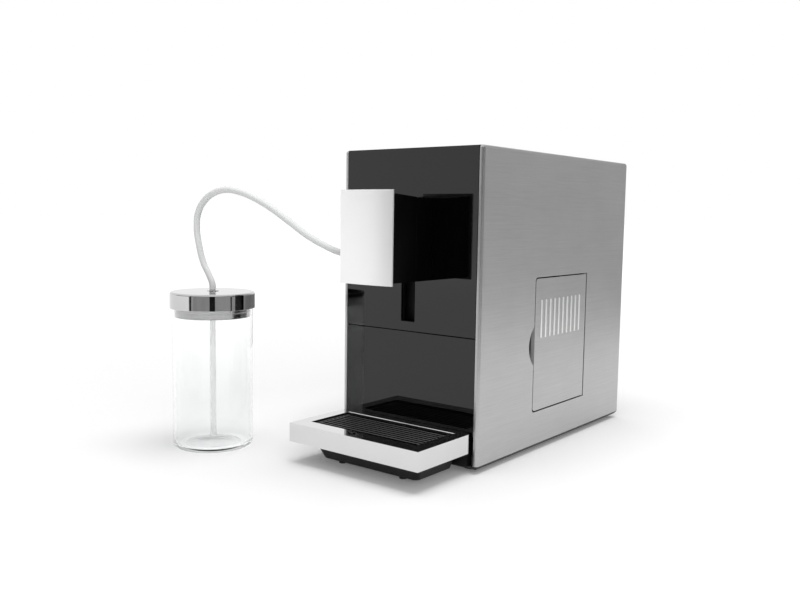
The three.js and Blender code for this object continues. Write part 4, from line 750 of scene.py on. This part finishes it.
# %% Opening of the door
sheet_edge = 0.15 * mm
door_gap = 0.6 * mm
door_pin = 4 * mm
door_corner = 4 * mm
scoop_drop = 52.7 * mm
scoop_height = 42.6 * mm
scoop_reach = 10.4 * mm
door_low, door_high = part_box("service_door")
door_bottom, door_top = door_low.z + door_pin, door_high.z - door_pin
side_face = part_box("side_panel_right")[1].x


def door_cutters():
    """Bodies of the door's opening and of the finger's bow."""
    reach = 6 * mm
    low = (side_face - reach, door_low.y - door_gap, door_bottom - door_gap)
    high = (side_face + reach, door_high.y + door_gap, door_top + door_gap)
    opening = block("door_opening", low, high)
    rounded(opening, door_corner, 8, lambda edge: along(edge, 0) and middle(edge).y < door_low.y)
    half = scoop_height / 2
    radius = (half ** 2 + scoop_reach ** 2) / (2 * scoop_reach)
    y = door_low.y - door_gap - scoop_reach + radius
    z = door_top - scoop_drop - half
    bow = bar("bow", radius, (low[0], y, z), (high[0], y, z), sides=160)
    return opening, bow


left_side = folded_side("left_side", "side_panel_left", -1)
dressed(softened(left_side, sheet_edge), steel, "side_panel_left")
right_side = carved(folded_side("right_side", "side_panel_right", 1), *door_cutters())
dressed(softened(right_side, sheet_edge), steel, "side_panel_right")

# %% [markdown]
# ## Service door
#
# The door is a plate flush with the side. Ten ribs are pressed outwards near its top, each a low
# round-backed bead. One bead is modelled and copied along the door, and the beads get a lighter steel
# than the door, a painted highlight for the light that their backs catch. Behind the finger's bow a
# lip is folded inwards from the door's edge. The door turns on pins at its rear edge, on a rolled
# knuckle.

# %% Door and its lip
door_sheet = 0.7 * mm
door_play = 0.7 * mm
lip_depth = 5 * mm
lip_wall = 1 * mm
lip_length = scoop_height + 5 * mm
lip_drop = scoop_drop - 5 * mm
knuckle_radius = 2.6 * mm
hinge_x, hinge_y = side_face - knuckle_radius, door_high.y - knuckle_radius
door_front = door_low.y + door_play
sheet_middle = side_face - door_sheet / 2

door = block(
    "steel_door", (side_face - door_sheet, door_front, door_bottom + door_play),
    (side_face, hinge_y, door_top - door_play),
)
rounded(door, door_corner, 8, lambda edge: along(edge, 0) and middle(edge).y < door_front + mm)
softened(door, 0.35 * mm, segments=3)
lip = block(
    "folded_lip", (side_face - lip_depth, door_front, door_top - scoop_drop - lip_length),
    (sheet_middle, door_front + lip_wall, door_top - lip_drop),
)
dressed(softened(lip, 0.3 * mm), lip_paint, "service_door")

# %% Beads
bead_count = 10
bead_width = 3 * mm
bead_height = 0.9 * mm
bead_length = 42 * mm
bead_front = 12.2 * mm
bead_rear = 17.3 * mm
bead_top = door_top - 24.3 * mm
first_bead = door_low.y + bead_front
bead = block(
    "door_beads", (sheet_middle, first_bead, bead_top - bead_length),
    (side_face + bead_height, first_bead + bead_width, bead_top),
)
rounded(bead, bead_width * 0.3, 6, lambda face: face.normal.x > 0.5, "FACE")
bpy.ops.object.shade_smooth_by_angle(angle=radians(50))
pitch = (door_high.y - bead_rear - bead_width - first_bead) / (bead_count - 1)
beads = [copied(bead, f"bead_{i}", (0, i * pitch, 0)) for i in range(1, bead_count)]

# %% Hinge
pin_radius = 0.8 * mm
knuckle = bar(
    "knuckle", knuckle_radius, (hinge_x, hinge_y, door_bottom), (hinge_x, hinge_y, door_top)
)
softened(knuckle, 0.3 * mm)
pin = bar("pin", pin_radius, (hinge_x, hinge_y, door_low.z), (hinge_x, hinge_y, door_high.z), 24)
softened(pin, 0.15 * mm)
# The beads wear a lighter steel than the door: a painted highlight.
dressed(joined(bead, *beads), bead_steel_with_painted_highlight, "service_door")
dressed(joined(door, knuckle, pin), steel, "service_door")

# %% [markdown]
# ## Front panels
#
# Two thin gloss plates cover the front, with a joint between them. The upper one has the slot in
# which the spout slides. Polished edges are broken by less than half a millimetre, which draws the
# thin bright line along the joint.

# %% Front panels
slot_half = 8.8 * mm
slot_play = 0.6 * mm
slot_low = front_middle.z + 139.2 * mm
plate_rim = 5 * mm
slot_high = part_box("spout_slide")[1].z - plate_rim + slot_play

upper_panel = block("upper_panel", panel_low, panel_high)
carved(upper_panel, block(
    "slot", (front_middle.x - slot_half, panel_low.y - mm, slot_low),
    (front_middle.x + slot_half, panel_high.y + mm, slot_high),
))
lower_panel = block("lower_panel", *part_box("lower_front_panel"))
for panel, node in ((upper_panel, "upper_front_panel"), (lower_panel, "lower_front_panel")):
    dressed(softened(panel, 0.4 * mm, segments=3), panel_gloss, node)

# %% [markdown]
# ## Spout
#
# The spout's body is a black block whose top falls to the back and steps down. It starts as a
# block of the rear height. A bisect marks the step, the part in front of it is raised, and its
# front edge is lifted a little more. The underside is hollowed, and two round holes take the coffee
# nozzles.

# %% Spout body
step_reach = 26.5 * mm
step_height = 2 * mm
front_rise = 3 * mm
foot_lip = 1.2 * mm
groove = 0.35 * mm
body_low, body_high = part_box("spout_body")
rear_top = body_high.z - front_rise - step_height
step_y = front_middle.y - step_reach

spout = block("spout_block", body_low, (body_high.x, body_high.y, rear_top))
pick(spout, "FACE", lambda face: True)
bpy.ops.mesh.bisect(plane_co=(0, step_y, 0), plane_no=(0, 1, 0))
pick(spout, "FACE", lambda face: face.normal.z > 0.5 and middle(face).y < step_y)
bpy.ops.mesh.extrude_region_move(TRANSFORM_OT_translate={"value": (0, 0, step_height)})
pick(spout, "EDGE", lambda edge: (
    middle(edge).z > rear_top + mm and middle(edge).y < body_low.y + mm and along(edge, 0)
))
bpy.ops.transform.translate(value=(0, 0, front_rise))
underside = block(
    "underside", (body_low.x + foot_lip, body_low.y + foot_lip, body_low.z - mm),
    (body_high.x - foot_lip, body_high.y - foot_lip, body_low.z + foot_lip),
)
split = block(
    "split", (body_low.x - mm, step_y - groove / 2, body_low.z - mm),
    (body_low.x + groove, step_y + groove / 2, rear_top - 2 * mm),
)
split_twin = copied(split, "split_twin", (body_high.x - body_low.x + mm - groove, 0, 0))
nozzle_play = 0.3 * mm
nozzle_sizes = {side: round_size(f"coffee_nozzle_{side}") for side in ("left", "right")}
holes = []
for radius, height, foot in nozzle_sizes.values():
    top = foot + Vector((0, 0, height + nozzle_play))
    holes.append(bar("hole", radius + nozzle_play, (foot.x, foot.y, body_low.z - mm), top))
carved(spout, underside, split, split_twin, *holes)
dressed(softened(spout, 0.4 * mm), spout_gloss, "spout_body")

# %% [markdown]
# The nozzles are short turned tubes whose mouths are rounded. The milk fitting on the left has a
# flange and a barb whose rings grip the hose.

# %% Nozzles
nozzle_bore = 2.6 * mm
for side, (radius, height, foot) in nozzle_sizes.items():
    mouth_edge = (radius - nozzle_bore) / 2
    profile = [
        (nozzle_bore, height), *arc((nozzle_bore + mouth_edge, mouth_edge), mouth_edge, 180, 360, 10),
        (radius, height), (nozzle_bore, height),
    ]
    dressed(spun(f"nozzle_{side}", profile, foot), spout_gloss, f"coffee_nozzle_{side}")

# %% Milk fitting
flange_depth = 3 * mm
flange_edge = 0.6 * mm
barb_radius = 3.1 * mm
barb_neck = 2.6 * mm
barb_rings = 3
fitting_low, fitting_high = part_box("milk_fitting")
fitting_radius = (fitting_high.z - fitting_low.z) / 2
barb_end = fitting_high.x - fitting_low.x
profile = [(0, 0), (fitting_radius, 0), (fitting_radius, flange_depth - flange_edge)]
profile += arc((fitting_radius - flange_edge, flange_depth - flange_edge), flange_edge, 0, 90, 4)
ring_length = (barb_end - flange_depth) / barb_rings
for ring in range(barb_rings):
    start = flange_depth + ring * ring_length
    profile += [(barb_neck, start), (barb_radius, start + ring_length * 0.3)]
profile += [(barb_neck, barb_end), (0, barb_end)]
flange = (fitting_low + fitting_high) / 2
flange.x = fitting_high.x
fitting = spun("hose_fitting", profile, flange, axis=(-1, 0, 0), out=(0, 0, 1), steps=64)
dressed(fitting, spout_gloss, "milk_fitting")
dressed(edged("slide_neck", "spout_slide", 0.3 * mm), spout_gloss, "spout_slide")

# %% [markdown]
# ## Spout cover
#
# The cover is a plate of silver metal, flat behind and bowed in front about an upright axis. A
# block is cut into upright strips with subdivide, and each front edge between two strips is moved
# out to the bow's circle. The face of the cover is plain.

# %% Bowed cover
cover_bulge = 3 * mm
strips = 24
cover_low, cover_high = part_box("spout_cover")
cover_width = cover_high.x - cover_low.x
cover_middle = (cover_high.x + cover_low.x) / 2
bow_radius = ((cover_width / 2) ** 2 + cover_bulge ** 2) / (2 * cover_bulge)

cover = block("silver_cover", (cover_low.x, cover_low.y + cover_bulge, cover_low.z), cover_high)
pick(cover, "EDGE", lambda edge: along(edge, 0))
bpy.ops.mesh.subdivide(number_cuts=strips - 1)
for strip in range(1, strips):
    x = cover_low.x + cover_width * strip / strips
    bulge = cover_bulge - bow_radius + sqrt(bow_radius ** 2 - (x - cover_middle) ** 2)
    pick(cover, "VERT", lambda corner: (
        abs(corner.co.x - x) < 0.1 * mm and corner.co.y < cover_high.y - mm
    ))
    bpy.ops.transform.translate(value=(0, -bulge, 0))
dressed(softened(cover, 0.3 * mm, segments=3, angle=45), cover_silver, "spout_cover")

# %% [markdown]
# ## Drip tray
#
# The rim is a folded sheet of polished steel, open below, with a wide top and an opening for the
# grille. Its front corners are sharp and its rear ones round. It is a block with rounded rear
# corners, from which the inside, the opening and a notch at the back are cut.

# %% Polished rim
rim_sheet = 1 * mm
rear_corner = 6 * mm
cut_edge = 0.5 * mm
grille_play = 0.3 * mm
pan_half = 80.6 * mm
rim_low, rim_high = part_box("tray_rim")
mouth_rear = grille_high.y + grille_play


def rim_body(name, inset, low_z, high_z):
    low = Vector((rim_low.x + inset, rim_low.y + inset, low_z))
    high = Vector((rim_high.x - inset, rim_high.y - inset, high_z))
    body = block(name, low, high)
    at_rear = high.y - mm
    rounded(body, rear_corner - inset, 10, lambda e: along(e, 2) and middle(e).y > at_rear)
    return body


rim = rim_body("polished_rim", 0, rim_low.z, rim_high.z)
inside = rim_body("inside", rim_sheet, rim_low.z - mm, rim_high.z - rim_sheet)
mouth = block(
    "mouth", (grille_low.x - grille_play, grille_low.y - grille_play, rim_low.z - 2 * mm),
    (grille_high.x + grille_play, mouth_rear, rim_high.z + mm),
)
notch = block(
    "notch", (front_middle.x - pan_half, rim_high.y - rear_corner, rim_low.z - 2 * mm),
    (front_middle.x + pan_half, rim_high.y + 2 * mm, rim_high.z - rim_sheet - grille_play),
)
carved(rim, inside, mouth, notch)
rounded(rim, cut_edge, 1, lambda edge: (
    along(edge, 0) and abs(middle(edge).y - mouth_rear) < 0.1 * mm
    and middle(edge).z > rim_high.z - 0.1 * mm
))
dressed(softened(rim, 0.35 * mm, segments=3), rim_chrome, "tray_rim")

# %% [markdown]
# The grille is a plate with nine rows of six slots, whose ends are round. One slot is shaped as a
# cutter, copied to all places, and the copies are joined so that a single cut opens them all. A
# channel along each row sets the ribs between its slots lower and leaves thin ridges, so that the
# rows read as lines. The plate lies a little below the rim, whose cut edge shines behind it.

# %% Grille and its slots
slot_rows, slot_columns = 9, 6
slot_size = Vector((19, 2.9, 0)) * mm
slot_margin = 4.5 * mm

plate_high = grille_high - Vector((0, 0, grille_sunk))
grille = block("grille_plate", grille_low, plate_high)
start = Vector((grille_low.x + slot_margin, grille_low.y + slot_margin, grille_low.z - mm))
cutter = block("slot_cutter", start, start + Vector((slot_size.x, slot_size.y, 5 * mm)))
rounded(cutter, slot_size.y * 0.42, 3, lambda edge: along(edge, 2))
size = plate_high - grille_low
column_pitch = (size.x - 2 * slot_margin - slot_size.x) / (slot_columns - 1)
row_pitch = (size.y - 2 * slot_margin - slot_size.y) / (slot_rows - 1)
cutters = [
    copied(cutter, f"slot_{row}_{column}", (column * column_pitch, row * row_pitch, 0))
    for row in range(slot_rows) for column in range(slot_columns) if row or column
]
joined(cutter, *cutters)

# %% Channels between the ridges
channel_depth = 1.7 * mm
channel_overhang = 0.75 * mm
channel = block(
    "channel", (start.x, start.y - channel_overhang, plate_high.z - channel_depth),
    (plate_high.x - slot_margin, start.y + slot_size.y + channel_overhang, plate_high.z + mm),
)
channels = [copied(channel, f"channel_{row}", (0, row * row_pitch, 0)) for row in range(1, slot_rows)]
joined(channel, *channels)
carved(grille, cutter, channel)
dressed(softened(grille, 0.22 * mm, segments=1), grille_plastic, "drip_grille")
dressed(edged("tray_bowl", "drip_tray", 0.4 * mm), tray_plastic, "drip_tray")

# %% [markdown]
# ## Milk jar
#
# The jar is blown glass with a thick rounded foot and a fire-polished rim. Its profile is drawn
# from the middle of the bottom up the outside and down the inside, and turned. The glass is a real
# closed wall, so that it bends light at its edges as the photograph shows.

# %% Glass
jar_wall = 2 * mm
jar_floor = 3.5 * mm
jar_corner = 5 * mm
jar_dimple = 0.8 * mm
jar_radius, jar_height, jar_foot = round_size("milk_jar")
inner = jar_radius - jar_wall

profile = [(0, jar_dimple), (jar_radius * 0.62, jar_dimple), (jar_radius * 0.7, 0)]
profile += arc((jar_radius - jar_corner, jar_corner), jar_corner, -90, 0, 10)
profile += arc((jar_radius - jar_wall / 2, jar_height - jar_wall / 2), jar_wall / 2, 0, 180, 10)
profile += arc((inner - jar_corner, jar_floor + jar_corner), jar_corner, 0, -90, 10)
profile += [(jar_radius * 0.4, jar_floor - 0.4 * mm), (0, jar_floor - 0.6 * mm)]
dressed(spun("glass_jar", profile, jar_foot, steps=128), jar_glass, "milk_jar")

# %% [markdown]
# The lid is a deep chrome cap with a softly rounded top edge and a small boss where the hose comes
# in. Below it sits the plug, a metal band with a groove that fits into the glass. The suction pipe
# runs through both down to the milk.

# %% Lid
lid_wall = 1.2 * mm
lid_edge = 2.4 * mm
lid_boss = 6.5 * mm
boss_height = 1.2 * mm
boss_edge = 0.4 * mm
lid_radius, lid_top, lid_foot = round_size("milk_lid")
pipe_radius, pipe_height, pipe_foot = round_size("suction_pipe")
lid_face = lid_top - boss_height
hole = pipe_radius + 0.3 * mm

profile = [(hole, lid_face - lid_wall), (lid_radius - lid_wall, lid_face - lid_wall)]
profile += arc((lid_radius - lid_wall / 2, lid_wall / 2), lid_wall / 2, 180, 360, 8)
profile += arc((lid_radius - lid_edge, lid_face - lid_edge), lid_edge, 0, 90, 8)
profile += [(lid_boss, lid_face)]
profile += arc((lid_boss - boss_edge, lid_top - boss_edge), boss_edge, 0, 90, 4)
profile += [(hole, lid_top), (hole, lid_face - lid_wall)]
lid = spun("chrome_lid", profile, lid_foot, steps=128)
dressed(lid, lid_chrome, "milk_lid")

# %% Plug
plug_wall = 1.4 * mm
plug_edge = 1.2 * mm
seal_groove = 0.7 * mm
plug_radius, plug_height, plug_foot = round_size("lid_plug")
profile = [(hole, 0), (plug_radius - plug_edge, 0)]
profile += arc((plug_radius - plug_edge, plug_edge), plug_edge, -90, 0, 6)
for level in (0.22, 0.34):
    z = plug_height * level
    profile += [
        (plug_radius, z), (plug_radius - seal_groove, z + seal_groove / 2),
        (plug_radius - seal_groove, z + seal_groove), (plug_radius, z + seal_groove * 1.5),
    ]
profile += [
    (plug_radius, plug_height), (plug_radius - plug_wall, plug_height),
    (plug_radius - plug_wall, plug_wall), (hole, plug_wall), (hole, 0),
]
plug = spun("metal_plug", profile, plug_foot, steps=128)
dressed(plug, plug_metal, "lid_plug")

# %% Suction pipe
pipe_bore = 2.1 * mm
pipe_lip = (pipe_radius - pipe_bore) / 2
profile = arc((pipe_bore + pipe_lip, pipe_lip), pipe_lip, 180, 360, 8)
profile += arc((pipe_bore + pipe_lip, pipe_height - pipe_lip), pipe_lip, 0, 180, 8)
profile += [profile[0]]
dressed(spun("milk_pipe", profile, pipe_foot, steps=48), pipe_plastic, "suction_pipe")

# %% [markdown]
# The gloss panels of the photograph don't mirror the lid, so the lid and its plug stay out of
# reflections.

# %% Lid out of the mirror
lid.visible_glossy = plug.visible_glossy = False
print("not mirrored:", lid.name, plug.name)

# %% [markdown]
# ## Feet, base and drawer
#
# Each rubber foot is turned once, with a shallow ring round it, and copied to the four corners.
# The base, the drawer and the pieces that show when a door or a drawer is open are copies of their
# solids with broken edges.

# %% Feet
ring = 0.4 * mm
tread_edge = 0.8 * mm
tread_dimple = 0.3 * mm
foot_radius, foot_height, foot_place = round_size("foot_front_left")
waist = foot_radius - tread_edge
profile = [(0, tread_dimple), (foot_radius * 0.6, tread_dimple), (foot_radius * 0.7, 0)]
profile += arc((foot_radius - 2.2 * mm, tread_edge), tread_edge, -90, -10, 5)
profile += [
    (waist, foot_height * 0.45), (waist - ring, foot_height * 0.52),
    (foot_radius - ring, foot_height * 0.62), (foot_radius, foot_height - ring),
    (foot_radius - ring, foot_height), (0, foot_height),
]
first_foot = spun("rubber_foot", profile, foot_place, steps=64)
for corner in ("front_left", "front_right", "rear_left", "rear_right"):
    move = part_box(f"foot_{corner}")[0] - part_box("foot_front_left")[0]
    dressed(copied(first_foot, f"rubber_foot_{corner}", move), foot_rubber, f"foot_{corner}")
bpy.data.objects.remove(first_foot)

# %% Edged copies of the mouldings
# Solid: name of the copy, width of its edges in millimetres, finish
copies = {
    "base_pan": ("cabinet_base", 0.5, base_plastic),
    "grounds_container": ("grounds_box", 0.4, inner_black_plastic),
    "door_liner": ("door_lining", 0.4, inner_black_plastic),
    "door_frame": ("door_surround", 0.4, inner_black_plastic),
    "top_cover": ("cabinet_top", 0.6, top_plastic),
    "hopper_lid": ("bean_cover", 0.6, top_plastic),
    "tank_lid": ("water_cover", 0.6, top_plastic),
    "rear_panel": ("cabinet_back", 0.5, rear_plastic),
    "power_inlet": ("mains_inlet", 0.3, rear_plastic),
    "power_switch": ("mains_rocker", 0.35, inner_black_plastic),
}
for node, (name, width, finish) in copies.items():
    dressed(edged(name, node, width * mm), finish, node)

# %% [markdown]
# ## Grind knob
#
# The knob sits in a well of the top. Its grip is a ring of shallow flutes, made by pushing two
# faces of every four round a many-sided cylinder inwards. A slot in its face shows where it points.

# %% Knob
knob_sides = 72
stem_radius = 4 * mm
stem_length = 24 * mm
flute_depth = 0.9 * mm
pointer_half = 0.9 * mm
pointer_depth = 1.8 * mm
knob_radius, knob_height, knob_foot = round_size("grind_knob")


def on_knob(x, y, z):
    """Point measured from the lower end of the knob's stem."""
    return knob_foot + Vector((x, y, z))


knob_head = on_knob(0, 0, stem_length)
knob = bar("grind_dial", knob_radius, knob_head, on_knob(0, 0, knob_height), knob_sides)


def flute(face):
    """Two faces of every four round the side."""
    if abs(face.normal.z) > 0.5:
        return False
    turns = face.normal.xy.angle_signed(Vector((1, 0))) / (2 * pi) * knob_sides
    return int(turns + knob_sides) % 4 < 2


pick(knob, "FACE", flute)
bpy.ops.mesh.extrude_region_shrink_fatten(TRANSFORM_OT_shrink_fatten={"value": -flute_depth})
carved(knob, block(
    "pointer", on_knob(-pointer_half, 0, knob_height - pointer_depth),
    on_knob(pointer_half, knob_radius + mm, knob_height + mm),
))
stem = bar("stem", stem_radius, knob_foot, on_knob(0, 0, stem_length + mm))
softened(knob, 0.2 * mm, segments=1)
dressed(joined(knob, softened(stem, 0.4 * mm)), top_plastic, "grind_knob")

# %% [markdown]
# ## Studio
#
# The object stands on a pale floor in an even white room. The floor takes the object's soft shadow
# and is brought up to white by a little light of its own, which only the camera, mirrors and glass
# see. Two large soft lamps give the plastic its shape.

# %% Floor
direct_rays = ("Is Camera Ray", "Is Glossy Ray", "Is Transmission Ray")


def seen_directly(shading):
    """1 for the rays that show the background, 0 for those that light the object."""
    rays = shading.node("ShaderNodeLightPath").socket.node.outputs
    camera_ray, glossy_ray, passed_ray = (Wire(shading, rays[name]) for name in direct_rays)
    return camera_ray + glossy_ray + passed_ray


glow_near, glow_far = 0.11, 0.76
glow_start, glow_end = 0.3, 2.8
choose(None)
bpy.ops.mesh.primitive_plane_add(size=60)
floor = started("floor")
floor_finish = Finish("pale_floor", Roughness=0.9, Specular_IOR_Level=0.0, Emission_Strength=1.0)
paper = floor_finish.clouds(0.4, detail=3.0)
away = floor_finish.node("ShaderNodeVectorMath", {"operation": "LENGTH"}, {0: floor_finish.place}, 1)
glow = floor_finish.between(away, glow_start, glow_end, glow_near, glow_far)
floor_finish.set(
    Base_Color=floor_finish.blend(paper, grey(0.85), grey(0.87)),
    Emission_Color=floor_finish.blend(seen_directly(floor_finish) * glow, grey(0.0), grey(1.0)),
)
floor.data.materials.append(floor_finish.material)

# %% World
room_light = 0.38
world = bpy.data.worlds.new("white_room")
bpy.context.scene.world = world
world.use_nodes = True
room = Shading(world.node_tree)
background = room.nodes["Background"]
shades = room.blend(seen_directly(room), grey(room_light), grey(1.0))
room.feed(background.inputs["Color"], shades)

# %% Lamps
# Name: place, size, power
lamps = {
    "overhead": ((0.3, 0.0, 2.4), 1.6, 39.0),
    "side": ((1.8, -1.6, 1.4), 1.8, 18.0),
}
aim = Vector((0.05, 0.0, 0.15))
for name, (place, size, power) in lamps.items():
    choose(None)
    bpy.ops.object.light_add(type="AREA", location=place)
    lamp = bpy.context.object
    lamp.name = f"{name}_lamp"
    lamp.data.size = size
    lamp.data.energy = power
    lamp.rotation_euler = (aim - Vector(place)).to_track_quat("-Z", "Y").to_euler()
    lamp.visible_glossy = False

# %% [markdown]
# Polished metal looks like the room it stands in. In an all-white room chrome is white and has no
# form, so a studio stands grey and black cards round it. Here each card is seen in reflections
# alone: it takes no light away and doesn't show in the picture. Narrow black cards round the jar
# draw the stripes in its lid, and wide grey ones stand behind them. A high one darkens the tray's
# mirror image, and one behind the machine grades the steel side.

# %% Cards
machine_foot = Vector((front_middle.x, front_middle.y, 0))
jar_ground = Vector((jar_foot.x, jar_foot.y, 0))


def card(name, origin, azimuth, distance, width, low, high, shade):
    """Upright card that faces the origin from an azimuth, in degrees from the X axis."""
    turned = radians(azimuth)
    place = origin + Vector((cos(turned), sin(turned), 0)) * distance
    place.z = (low + high) / 2
    choose(None)
    bpy.ops.mesh.primitive_plane_add(size=1, location=place, rotation=(pi / 2, 0, turned - pi / 2))
    bpy.context.object.scale = (width, high - low, 1)
    piece = started(f"{name}_card")
    cloth = Finish(f"{name}_cloth", Roughness=1.0, Specular_IOR_Level=0.0)
    weave = cloth.clouds(0.3, detail=2.0)
    cloth.set(Base_Color=cloth.blend(weave, grey(shade * 0.85), grey(shade * 1.15)))
    piece.data.materials.append(cloth.material)
    piece.visible_camera = piece.visible_diffuse = piece.visible_shadow = False
    piece.visible_transmission = piece.visible_volume_scatter = False


# Name: origin, azimuth, distance, width, low, high, shade
cards = {
    "lid_middle": (jar_ground, -40, 0.8, 0.20, 0.0, 0.6, 0.02),
    "lid_left": (jar_ground, -99, 0.85, 0.07, 0.0, 0.6, 0.02),
    "lid_right": (jar_ground, 10, 0.8, 0.05, 0.0, 0.6, 0.02),
    "front_right": (jar_ground, -8, 0.95, 1.1, 0.0, 0.9, 0.50),
    "front": (jar_ground, -62, 0.95, 1.1, 0.0, 0.9, 0.46),
    "front_left": (jar_ground, -98, 1.0, 0.2, 0.0, 0.9, 0.50),
    "right": (jar_ground, 100, 0.7, 0.7, 0.0, 0.16, 0.30),
    "high_left": (machine_foot, -128, 3.0, 2.8, 0.60, 1.4, 0.48),
    "behind_right": (machine_foot, 52, 1.2, 2.6, 0.0, 2.4, 0.66),
}
for name, place_and_shade in cards.items():
    card(name, *place_and_shade)
print("cards", len(cards))

# %% [markdown]
# ## Colour and closing
#
# Plain colour management shows each colour as it is written.

# %% Finish
bpy.context.scene.view_settings.view_transform = "Standard"
choose(None)
